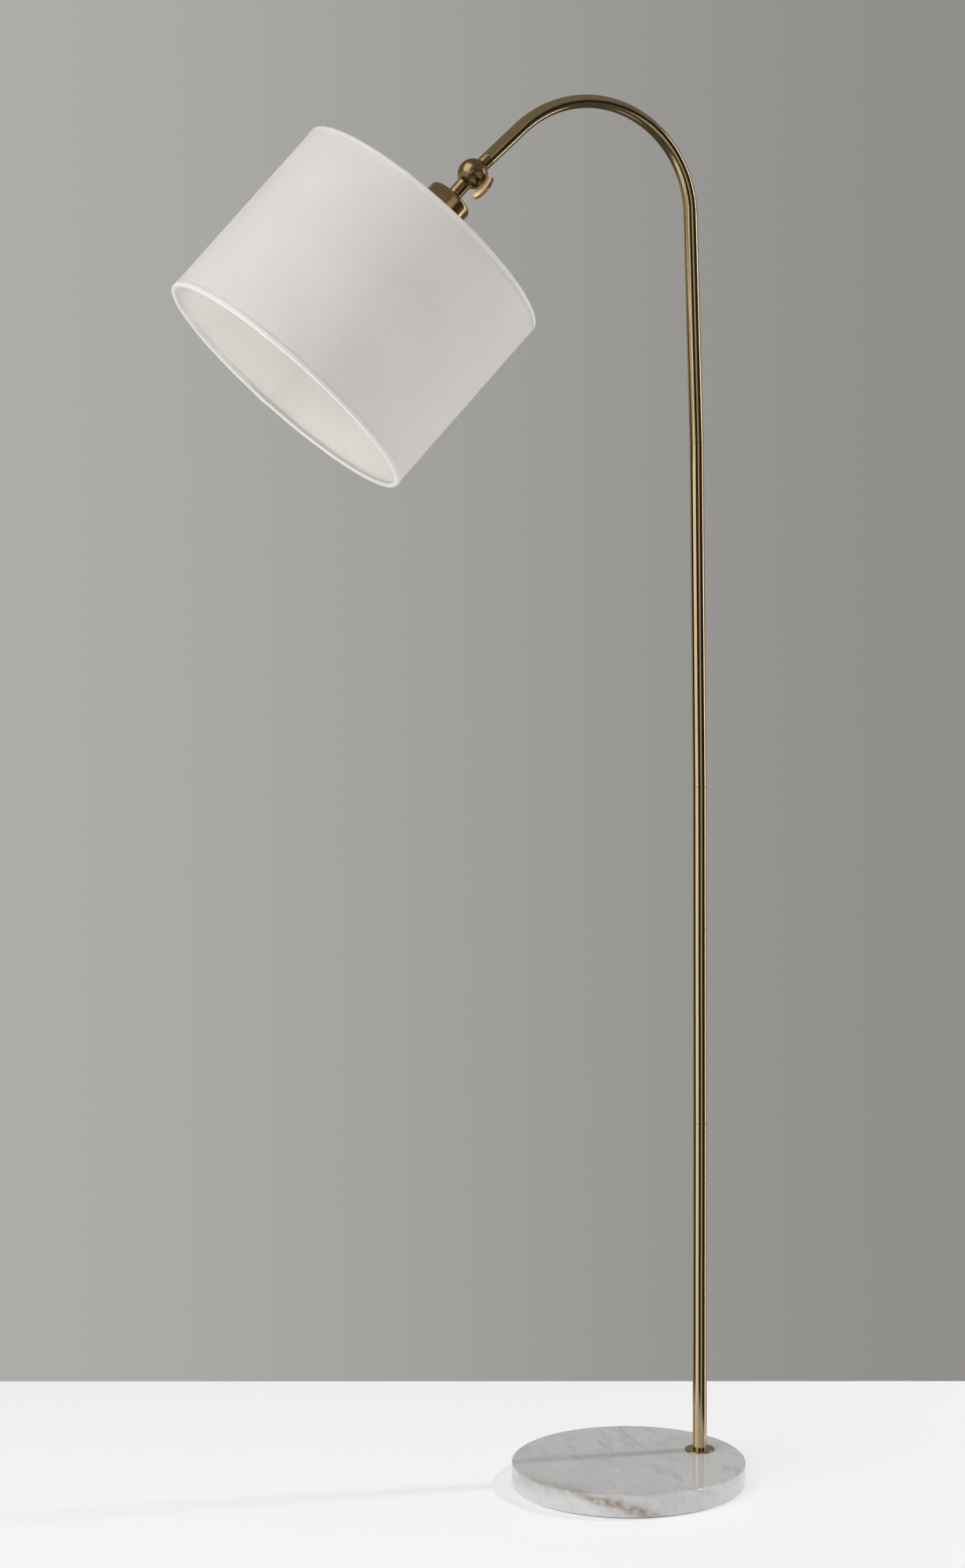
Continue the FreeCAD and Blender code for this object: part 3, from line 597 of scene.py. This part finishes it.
def new_group(name, takes, gives):
    """A node group, with its own inputs and outputs. takes lists (name, kind, value), and gives (name, kind)."""
    group = bpy.data.node_groups.new(name, "ShaderNodeTree")
    for socket, kind, value in takes:
        made = group.interface.new_socket(socket, in_out="INPUT", socket_type="NodeSocket" + kind)
        if value is not None:
            made.default_value = value
    for socket, kind in gives:
        group.interface.new_socket(socket, in_out="OUTPUT", socket_type="NodeSocket" + kind)
    print("group", name, "takes", [socket for socket, kind, value in takes])
    return group, group.nodes.new("NodeGroupInput").outputs, group.nodes.new("NodeGroupOutput").inputs


def use(tree, group, **sockets):
    """Places a group in a tree with its own values, and returns its outputs."""
    node = tree.nodes.new("ShaderNodeGroup")
    node.node_tree = group
    for name, value in sockets.items():
        name = name.replace("_", " ")
        if isinstance(value, bpy.types.NodeSocket):
            tree.links.new(value, node.inputs[name])
        else:
            node.inputs[name].default_value = value
    return node.outputs


# %% [markdown]
# ## Grain, patina and smudges
# Three effects return on nearly every part, so each is a node group. Grain is the fine lines that a belt or a
# lathe leaves: noise squeezed across the lines and drawn out along them. Patina is the brown cloud that stays
# in antique brass where the polishing missed. Smudges are the faint uneven gloss of handled lacquer.

# %% The grain group
grain, given, out = new_group(
    "grain",
    [("Vector", "Vector", None), ("Lines per metre", "Float", 3000.0), ("Drawn out", "Float", 0.01)],
    [("Lines", "Float"), ("Height", "Float")],
)
squeeze = add(grain, "CombineXYZ", {0: 1.0, 1: 1.0, 2: given["Drawn out"]}).outputs[0]
line_place = stretched(grain, given["Vector"], squeeze)
fine_lines = cloud(grain, line_place, given["Lines per metre"], 2.0, 0.6)
coarse_lines = cloud(grain, line_place, times(grain, given["Lines per metre"], 0.22), 1.0)
both_lines = sum_of(grain, "MULTIPLY_ADD", coarse_lines, 0.5, times(grain, fine_lines, 0.5))
grain.links.new(ramp(grain, both_lines, 0.34, 0.66), out["Lines"])
grain.links.new(both_lines, out["Height"])

# %% The patina group
patina, given, out = new_group(
    "patina",
    [("Vector", "Vector", None), ("Clouds per metre", "Float", 40.0), ("Amount", "Float", 0.5)],
    [("Mask", "Float")],
)
clouds = cloud(patina, given["Vector"], given["Clouds per metre"], 5.0, 0.62, 0.6)
threshold = sum_of(patina, "SUBTRACT", 0.75, times(patina, given["Amount"], 0.5))
softness = sum_of(patina, "ADD", threshold, 0.22)
patina.links.new(ramp(patina, clouds, threshold, softness), out["Mask"])

# %% The smudges group
smudges, given, out = new_group(
    "smudges",
    [("Vector", "Vector", None), ("Per metre", "Float", 30.0), ("Least", "Float", 0.1), ("Most", "Float", 0.3)],
    [("Roughness", "Float")],
)
broad = cloud(smudges, given["Vector"], given["Per metre"], 4.0, 0.6, 1.2)
smudges.links.new(ramp(smudges, broad, 0.3, 0.7, given["Least"], given["Most"]), out["Roughness"])

# %% [markdown]
# ## Where the grain runs
# Tube is brushed along its length, so on the straight pole the lines follow +Z. On the bend they have to turn
# with the tube. Its centre line lies in one upright plane, so a point is measured from the bend's centre: the
# distance from the centre says how far out on the tube it is, and the angle how far along. The straight end
# past the bend is taken off first, along its own direction.

# %% The bend's own coordinates
bend_radius = 124.1 * mm
bend_sweep = radians(129)
bend_start = 250.6 * mm           # straight run below the bend
pole_lean = radians(1.8)          # the top length's lean towards the shade
arc_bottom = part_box("arc_length")[0].z
end_ring = 1 * mm                 # the height that holds the lower end's points only
arc_foot = [vertex.co for vertex in nodes["arc_length"].data.vertices if vertex.co.z < arc_bottom + end_ring]
arc_foot = sum(arc_foot, Vector()) / len(arc_foot)
up_the_pole = Vector((-sin(pole_lean), 0, cos(pole_lean)))
out_of_bend = Vector((cos(pole_lean), 0, sin(pole_lean)))
bend_centre = Vector((arc_foot.x, 0, arc_foot.z)) + bend_start * up_the_pole - bend_radius * out_of_bend
print("bend centre", [round(part, 4) for part in bend_centre])

bend, given, out = new_group("bend_place", [("Vector", "Vector", None)], [("Vector", "Vector")])
offset = vector_sum(bend, "SUBTRACT", given["Vector"], bend_centre)
sideways = add(bend, "SeparateXYZ", {0: offset}).outputs[1]
level = vector_sum(bend, "DOT_PRODUCT", offset, out_of_bend, "Value")
height = vector_sum(bend, "DOT_PRODUCT", offset, up_the_pole, "Value")
above = sum_of(bend, "MAXIMUM", height, 0.0)
below = sum_of(bend, "MINIMUM", height, 0.0)
tail = times(bend, level, -sin(bend_sweep))
tail = sum_of(bend, "MAXIMUM", sum_of(bend, "MULTIPLY_ADD", above, cos(bend_sweep), tail), 0.0)
level = sum_of(bend, "MULTIPLY_ADD", tail, sin(bend_sweep), level)
above = sum_of(bend, "MULTIPLY_ADD", tail, -cos(bend_sweep), above)
flat = add(bend, "CombineXYZ", {0: level, 2: above}).outputs[0]
distance = vector_sum(bend, "LENGTH", flat, output="Value")
angle = sum_of(bend, "ARCTAN2", above, level)
along = sum_of(bend, "MULTIPLY_ADD", angle, bend_radius, sum_of(bend, "ADD", tail, below))
bend.links.new(add(bend, "CombineXYZ", {0: distance, 1: sideways, 2: along}).outputs[0], out["Vector"])

# %% [markdown]
# Spun and turned parts have rings. So a point on them is measured from the part's own axis: how far out it is, and
# how far along.

# %% Spun parts' coordinates
spun, given, out = new_group(
    "spun_place",
    [("Vector", "Vector", None), ("Centre", "Vector", (0, 0, 0)), ("Axis", "Vector", (0, 0, 1))],
    [("Vector", "Vector")],
)
offset = vector_sum(spun, "SUBTRACT", given["Vector"], given["Centre"])
height = vector_sum(spun, "DOT_PRODUCT", offset, given["Axis"], "Value")
on_axis = add(spun, "VectorMath", {0: given["Axis"], "Scale": height}, operation="SCALE").outputs[0]
away = vector_sum(spun, "SUBTRACT", offset, on_axis)
radius = vector_sum(spun, "LENGTH", away, output="Value")
spun.links.new(add(spun, "CombineXYZ", {0: radius, 1: height}).outputs[0], out["Vector"])

# %% [markdown]
# ## Antique brass
# Antique brass is bright brass that is darkened in a bath, brushed back, and lacquered. So the finish is two
# metals, bright and brown, mixed by the patina and streaked by the grain. The tube is nearly a mirror across
# its width, which gives the pole its sharp bands, while the spun cup is satin. Each part gets its own values.

# %% Brass
bright_brass = (0.62, 0.50, 0.295)
brown_brass = (0.33, 0.235, 0.125)
line_draw = 0.006                 # a grain line's width over its length
most_brown, line_dullness = 0.7, 0.05


def brass_finish(name, lines_place, gloss, brownness, lines=3000.0, streaks=0.30, depth=0.0012,
                 clouds=(1, 1, 1), colors=(bright_brass, brown_brass)):
    """Antique brass. lines_place(tree, place) gives the vector that the grain follows, and gloss is a pair of
    the least and most roughness. depth is the grain's in millimetres, and clouds draws the patina out."""
    finish, tree, shader = new_finish(name, 1.0)
    place = add(tree, "TexCoord").outputs["Object"]
    runs = use(tree, grain, Vector=lines_place(tree, place), Lines_per_metre=lines, Drawn_out=line_draw)
    cloud_place = stretched(tree, lines_place(tree, place), clouds)
    brown = use(tree, patina, Vector=cloud_place, Clouds_per_metre=55.0, Amount=brownness)["Mask"]
    color = mixed(tree, times(tree, brown, most_brown), *colors)
    color = mixed(tree, times(tree, runs["Lines"], streaks), color, colors[1])
    worn = use(tree, smudges, Vector=cloud_place, Per_metre=26.0, Least=gloss[0], Most=gloss[1])["Roughness"]
    worn = sum_of(tree, "MULTIPLY_ADD", runs["Lines"], line_dullness, worn)
    finish_with(tree, shader, color, worn, runs["Height"], depth * mm)
    return finish


def along_pole(tree, place):
    """Grain along +Z."""
    return place


def along_bend(tree, place):
    """Grain along the tube, round the bend."""
    return use(tree, bend, Vector=place)["Vector"]


def rings_about(centre, axis):
    """Grain in rings about an axis."""
    def lines_place(tree, place):
        return use(tree, spun, Vector=place, Centre=centre, Axis=axis)["Vector"]
    return lines_place


# %% [markdown]
# The pole is brushed along, the bend along its curve, and the foot's disc, ball, cup and clamp in rings about
# their own axis. The turned parts of the swivel are a warmer, deeper gold.

# %% Brass, part by part
screw_axis = Vector(joints["thumb_screw_turn"]["axis"]).normalized()
pole_rings = rings_about(pole_foot, (0, 0, 1))
screw_rings = rings_about(ball, screw_axis)
head_rings = rings_about(ball, down_axis)
drawn_clouds = (1, 1, 0.06)
golden = ((0.56, 0.415, 0.205), (0.19, 0.120, 0.052))
pole_brass = brass_finish("brass_pole", along_pole, (0.07, 0.12), 0.30, clouds=drawn_clouds)
arc_brass = brass_finish("brass_arc", along_bend, (0.10, 0.15), 0.35, clouds=drawn_clouds)
foot_brass = brass_finish("brass_foot_disc", pole_rings, (0.16, 0.24), 1.25, 2500.0)
ball_brass = brass_finish("brass_ball", screw_rings, (0.20, 0.28), 0.95, 1800.0, streaks=0.5, colors=golden)
cup_brass = brass_finish("brass_cup", head_rings, (0.17, 0.24), 0.40, 2200.0, streaks=0.4, depth=0.004,
                         colors=golden)
clamp_brass = brass_finish("brass_clamp", screw_rings, (0.24, 0.32), 0.10, 2600.0, streaks=0.1, colors=golden)
socket_brass = brass_finish("brass_socket", head_rings, (0.25, 0.36), 0.75, 1800.0)
print("brasses", [finish.name for finish in (pole_brass, arc_brass, foot_brass, ball_brass, cup_brass)])

# %% [markdown]
# ## Marble
# The stone is cool white with soft grey clouds, finer grey veins that run across the top, and one rusty vein
# where iron has stained a crack. A vein is a thin sheet through the block, so the rusty one is a tilted plane:
# the distance to it, roughened by noise, gives a line on every face that it cuts, top and side alike. Grey
# veins come from the places where a drawn-out noise passes through its middle value.

# %% The vein group
vein, given, out = new_group(
    "vein",
    [("Vector", "Vector", None), ("Per metre", "Float", 20.0), ("Width", "Float", 0.05)],
    [("Mask", "Float")],
)
folded = cloud(vein, given["Vector"], given["Per metre"], 6.0, 0.6, 0.4)
from_middle = sum_of(vein, "ABSOLUTE", sum_of(vein, "SUBTRACT", folded, 0.5))
vein.links.new(ramp(vein, from_middle, 0.0, given["Width"], 1.0, 0.0), out["Mask"])

# %% The marble
marble, tree, shader = new_finish("marble", coat_weight=0.35, coat_roughness=0.05)
place = add(tree, "TexCoord").outputs["Object"]
vein_turn, vein_draw = (0.2, 0.1, radians(18)), (1.0, 0.30, 1.0)
run = add(tree, "Mapping", {"Vector": place, "Rotation": vein_turn, "Scale": vein_draw}).outputs[0]
stone = mixed(tree, ramp(tree, cloud(tree, place, 11.0, 5.0, 0.6, 0.3), 0.34, 0.68),
              (0.680, 0.692, 0.708), (0.760, 0.766, 0.772))
flecks = ramp(tree, cloud(tree, run, 95.0, 6.0, 0.66, 0.2), 0.48, 0.70, 0.0, 0.42)
stone = mixed(tree, flecks, stone, (0.47, 0.485, 0.505))
patches = ramp(tree, cloud(tree, place, 14.0, 2.0), 0.45, 0.65, 0.0, 0.45)
grey_vein = times(tree, use(tree, vein, Vector=run, Per_metre=9.0, Width=0.022)["Mask"], patches)
stone = mixed(tree, grey_vein, stone, (0.40, 0.41, 0.42))
crystals = ramp(tree, cloud(tree, place, 1500.0, 2.0, 0.7), 0.35, 0.65, 0.0, 0.16)
stone = mixed(tree, crystals, stone, (0.76, 0.76, 0.76))

# %% [markdown]
# The rusty vein is darkest round one spot, its heart, and fades along the crack. Two ramps of the distance to the
# plane make it: a thin broken line, and a wider pale stain in the stone beside it.

# %% The rusty vein
rust_normal, rust_offset = Vector((0.408, 0.182, 0.895)), -34.9 * mm
rust_heart = (-0.068, -0.112, 0.015)
thin_width, halo_width, wander_width = 8 * mm, 15 * mm, 16 * mm
wander = add(tree, "TexNoise", {"Vector": place, "Scale": 38.0, "Detail": 5.0, "Roughness": 0.6})
wander = sum_of(tree, "MULTIPLY_ADD", wander.outputs["Fac"], wander_width, -wander_width / 2)
to_sheet = vector_sum(tree, "DOT_PRODUCT", place, rust_normal, "Value")
to_sheet = sum_of(tree, "ADD", sum_of(tree, "SUBTRACT", to_sheet, rust_offset), wander)
to_sheet = sum_of(tree, "ABSOLUTE", to_sheet)
to_heart = vector_sum(tree, "DISTANCE", place, rust_heart, "Value")
broken = ramp(tree, cloud(tree, place, 120.0, 4.0, 0.65), 0.30, 0.56)
thin = times(tree, ramp(tree, to_sheet, 0.0, thin_width, 1.0, 0.0), broken)
halo = ramp(tree, to_sheet, 0.0, halo_width, 0.50, 0.0)
thin = times(tree, thin, ramp(tree, to_heart, 12 * mm, 75 * mm, 0.85, 0.30))
halo = times(tree, halo, ramp(tree, to_heart, 20 * mm, 110 * mm, 1.0, 0.35))
stone = mixed(tree, halo, stone, (0.43, 0.40, 0.355))
stone = mixed(tree, thin, stone, (0.27, 0.215, 0.15))
polish = use(tree, smudges, Vector=place, Per_metre=14.0, Least=0.09, Most=0.16)["Roughness"]
finish_with(tree, shader, stone, polish, cloud(tree, place, 260.0, 3.0), 0.004 * mm)
print("marble nodes", len(tree.nodes))

# %% [markdown]
# ## Linen
# Plain weave is two sets of threads that pass over and under each other like a chessboard. The flat cut's UV is
# in metres, so one thread takes one pitch. Each square of the board shows a warp or a weft thread as a half-round
# ridge. Linen yarn is uneven, so the threads wander, and slubs make some of them thicker and lighter.

# %% The weave group
linen_pitch, linen_unevenness = 0.90 * mm, 0.35
weave, given, out = new_group(
    "weave",
    [("Cut", "Vector", None), ("Pitch", "Float", linen_pitch), ("Unevenness", "Float", linen_unevenness)],
    [("Height", "Float"), ("Gaps", "Float"), ("Slubs", "Float")],
)
threads = sum_of(weave, "DIVIDE", 1.0, given["Pitch"])
board = add(weave, "VectorMath", {0: given["Cut"], "Scale": threads}, operation="SCALE").outputs[0]
drift = add(weave, "TexNoise", {"Vector": board, "Scale": 0.16, "Detail": 3.0}).outputs["Color"]
drift = vector_sum(weave, "SUBTRACT", drift, (0.5, 0.5, 0.5))
strong = times(weave, given["Unevenness"], 3.0)
drift = add(weave, "VectorMath", {0: drift, "Scale": strong}, operation="SCALE").outputs[0]
board = vector_sum(weave, "ADD", board, drift)
u, v = add(weave, "SeparateXYZ", {0: board}).outputs[:2]
ridge_u = sum_of(weave, "SINE", times(weave, sum_of(weave, "FRACT", u), pi))
ridge_v = sum_of(weave, "SINE", times(weave, sum_of(weave, "FRACT", v), pi))
squares = sum_of(weave, "ADD", sum_of(weave, "FLOOR", u), sum_of(weave, "FLOOR", v))
black_square = sum_of(weave, "FLOORED_MODULO", squares, 2.0)
warp = times(weave, ridge_u, sum_of(weave, "MULTIPLY_ADD", ridge_v, 0.5, 0.5))
weft = times(weave, ridge_v, sum_of(weave, "MULTIPLY_ADD", ridge_u, 0.5, 0.5))
which = add(weave, "Mix", {0: black_square, 2: warp, 3: weft}, data_type="FLOAT").outputs[0]
long_u = stretched(weave, board, (1.0, 0.045, 1.0))
long_v = stretched(weave, board, (0.045, 1.0, 1.0))
slub_u = cloud(weave, long_u, 0.7, 2.0, 0.6)
slub_v = cloud(weave, long_v, 0.7, 2.0, 0.6)
slubs = times(weave, sum_of(weave, "ADD", slub_u, slub_v), 0.5)
weave.links.new(sum_of(weave, "MULTIPLY_ADD", ramp(weave, slubs, 0.42, 0.62), 0.35, which), out["Height"])
# Gaps is high between the threads; the linen uses it for roughness and for painted shade between the threads.
weave.links.new(ramp(weave, which, 0.10, 0.45, 1.0, 0.0), out["Gaps"])
weave.links.new(ramp(weave, slubs, 0.42, 0.60), out["Slubs"])

# %% Linen finishes
def linen_finish(name, pitch, light, shade, depth):
    """Woven linen of a thread pitch in metres. Its sheen is the fuzz of fibres that catches low light."""
    finish, tree, shader = new_finish(name, sheen_weight=0.25, sheen_roughness=0.5, specular_ior_level=0.25)
    cut_place = add(tree, "UVMap", uv_map="cut").outputs["UV"]
    cloth = use(tree, weave, Cut=cut_place, Pitch=pitch, Unevenness=linen_unevenness)
    # The gaps between the threads are mixed towards the darker colour: painted shade between the threads.
    color = mixed(tree, times(tree, cloth["Gaps"], 0.55), light, shade)
    slub_color = tuple(min(part * 1.05, 1) for part in light)
    color = mixed(tree, times(tree, cloth["Slubs"], 0.35), color, slub_color)
    faded = ramp(tree, cloud(tree, cut_place, 9.0, 3.0), 0.35, 0.65, 0.0, 0.25)
    color = mixed(tree, faded, color, shade)
    rough = ramp(tree, cloth["Gaps"], 0.0, 1.0, 0.78, 0.95)
    finish_with(tree, shader, color, rough, cloth["Height"], depth * mm)
    print(name, "threads in a centimetre:", round(0.01 / pitch, 1))
    return finish


# The second colour of each is the darker tone: painted shade in the gaps between threads, and the real slow uneven
# fading.
linen = linen_finish("linen", linen_pitch, (0.82, 0.80, 0.775), (0.69, 0.66, 0.625), 0.08)
tape = linen_finish("linen_tape", 0.62 * mm, (0.86, 0.855, 0.84), (0.78, 0.77, 0.75), 0.03)

# %% [markdown]
# ## Backing film
# The cream film inside is matt plastic sheet. It takes a faint print of the linen behind it, so it shares the
# weave group at about a seventh of the depth, under soft uneven yellowing.

# %% Backing film
film, tree, shader = new_finish("backing_film", specular_ior_level=0.35)
cut_place = add(tree, "UVMap", uv_map="cut").outputs["UV"]
print_through = use(tree, weave, Cut=cut_place, Pitch=linen_pitch, Unevenness=linen_unevenness)
aged = ramp(tree, cloud(tree, cut_place, 7.0, 4.0), 0.32, 0.70)
cream = mixed(tree, aged, (0.95, 0.935, 0.905), (0.89, 0.86, 0.81))
cream = mixed(tree, times(tree, print_through["Slubs"], 0.12), cream, (0.94, 0.925, 0.90))
matt = use(tree, smudges, Vector=cut_place, Per_metre=20.0, Least=0.42, Most=0.58)["Roughness"]
print_depth = 0.012 * mm
finish_with(tree, shader, cream, matt, print_through["Height"], print_depth)

# %% [markdown]
# ## The small parts
# The fitter is painted wire, the socket is moulded, and the nuts, studs and bushes are zinc plated or turned
# steel. They show inside the drum and under the foot, and when a joint moves. Each gets a colour that varies, an
# uneven gloss and a surface of its own: orange peel in paint, pores in foam, spangle in zinc, fibres in card.

# %% Small finishes
def small_finish(name, light, dark, gloss, per_metre, depth, metallic=0.0, rings=None, stretch=(1, 1, 1),
                 **constants):
    """A plain finish: two colours clouded together, uneven gloss and a fine bump of depth millimetres."""
    finish, tree, shader = new_finish(name, metallic, **constants)
    place = add(tree, "TexCoord").outputs["Object"]
    fine = stretched(tree, place, stretch)
    texture = cloud(tree, fine, per_metre, 3.0, 0.6)
    if rings:
        texture = use(tree, grain, Vector=rings(tree, place), Lines_per_metre=per_metre, Drawn_out=0.01)["Height"]
    color = mixed(tree, ramp(tree, texture, 0.36, 0.64), dark, light)
    color = mixed(tree, ramp(tree, cloud(tree, place, 60.0, 4.0), 0.4, 0.7, 0.0, 0.5), color, dark)
    uneven = use(tree, smudges, Vector=place, Per_metre=45.0, Least=gloss[0], Most=gloss[1])["Roughness"]
    finish_with(tree, shader, color, uneven, texture, depth * mm)
    return finish


# %% One finish for each material slot
plain = {     # name, light and dark colour, least and most roughness, texture per metre, its depth in mm, metal
    "base_felt": ("foam", (0.05, 0.05, 0.052), (0.018, 0.018, 0.019), (0.80, 0.95), 900.0, 0.25),
    "black_rubber": ("rubber", (0.04, 0.04, 0.041), (0.022, 0.022, 0.023), (0.55, 0.72), 700.0, 0.03),
    "zinc_steel": ("zinc", (0.66, 0.67, 0.68), (0.50, 0.51, 0.53), (0.28, 0.42), 350.0, 0.01, 1.0),
    "bush_steel": ("turned_steel", (0.58, 0.57, 0.55), (0.42, 0.41, 0.40), (0.30, 0.42), 2500.0, 0.01, 1.0),
    "fibre": ("fibre", (0.36, 0.13, 0.08), (0.22, 0.07, 0.045), (0.55, 0.70), 1400.0, 0.04),
    "card": ("card", (0.50, 0.36, 0.22), (0.36, 0.25, 0.15), (0.75, 0.90), 500.0, 0.05),
    "black_phenolic": ("phenolic", (0.03, 0.028, 0.027), (0.014, 0.013, 0.013), (0.22, 0.34), 240.0, 0.01),
    "contact_brass": ("bare_brass", (0.82, 0.66, 0.36), (0.66, 0.50, 0.24), (0.18, 0.30), 2600.0, 0.01, 1.0),
    "switch_knob": ("knob_brass", (0.50, 0.39, 0.22), (0.27, 0.19, 0.10), (0.20, 0.32), 500.0, 0.02, 1.0),
    "ring_nut_white": ("white_nut", (0.80, 0.79, 0.76), (0.70, 0.69, 0.65), (0.32, 0.44), 420.0, 0.02),
    "white_wire": ("white_paint", (0.84, 0.835, 0.81), (0.74, 0.73, 0.70), (0.26, 0.38), 330.0, 0.05),
    "opal_glass": ("opal_glass", (0.93, 0.925, 0.90), (0.88, 0.87, 0.84), (0.14, 0.20), 90.0, 0.01),
    "bulb_metal": ("aluminium", (0.82, 0.82, 0.81), (0.66, 0.66, 0.66), (0.26, 0.38), 2200.0, 0.02, 1.0),
    "bulb_contact": ("solder", (0.60, 0.60, 0.58), (0.40, 0.40, 0.39), (0.32, 0.46), 600.0, 0.05, 1.0),
}
special = {
    "bush_steel": {"rings": pole_rings}, "contact_brass": {"rings": head_rings}, "bulb_metal": {"rings": head_rings},
    "card": {"stretch": (1, 4, 1)}, "opal_glass": {"coat_weight": 0.4, "coat_roughness": 0.04},
}
finishes = {slot: small_finish(*values, **special.get(slot, {})) for slot, values in plain.items()}
finishes.update({"marble": marble, "socket_brass": socket_brass, "antique_brass": pole_brass,
                 "shade_linen": linen, "shade_backing": film})
print("finishes", len(finishes))

# %% [markdown]
# ## Dress the solids
# The imported record lists the material slot of every solid, so most of them are dressed from that list. The brass
# parts differ by how they were made, so those are named one by one. The cone washer's browner brass is also painted
# shade.

# %% Give every solid its finish
own_brass = {
    "arc_length": arc_brass, "foot_flange": foot_brass, "socket_cup": cup_brass,
    "swivel_arm_half": ball_brass, "swivel_head_half": ball_brass,
    # The cone washer is brass, and its browner finish is also painted shade for the ball's dark recess.
    "thumb_screw": clamp_brass, "thumb_paddle": clamp_brass, "cone_washer": socket_brass,
}
slot_of = {part["node"]: part["material_slot"] for part in frame["record"]["subparts"]}
for name, node in nodes.items():
    finish = own_brass.get(name, finishes[slot_of[name]])
    node.data.materials.clear()
    node.data.materials.append(finish)

for piece, finish in (
    (linen_cover, linen), (backing_film, film), (top_binding, tape), (bottom_binding, tape),
    (foam_pad, finishes["base_felt"]),
):
    piece.data.materials.append(finish)
print("dressed", len(nodes), "solids")

# %% [markdown]
# Each linked light now gets the pieces that it may reach.

# %% Share out the linked lights
for lit in (nodes["marble_base"], nodes["bulb_glass"], nodes["shade_spider"], nodes["shade_ring_nut"],
            linen_cover, backing_film, top_binding, bottom_binding, foam_pad):
    stone_and_cloth.objects.link(lit)
paddle_only.objects.link(nodes["thumb_paddle"])
for name in ("swivel_arm_half", "swivel_head_half"):
    lit_from_above.objects.link(nodes[name])
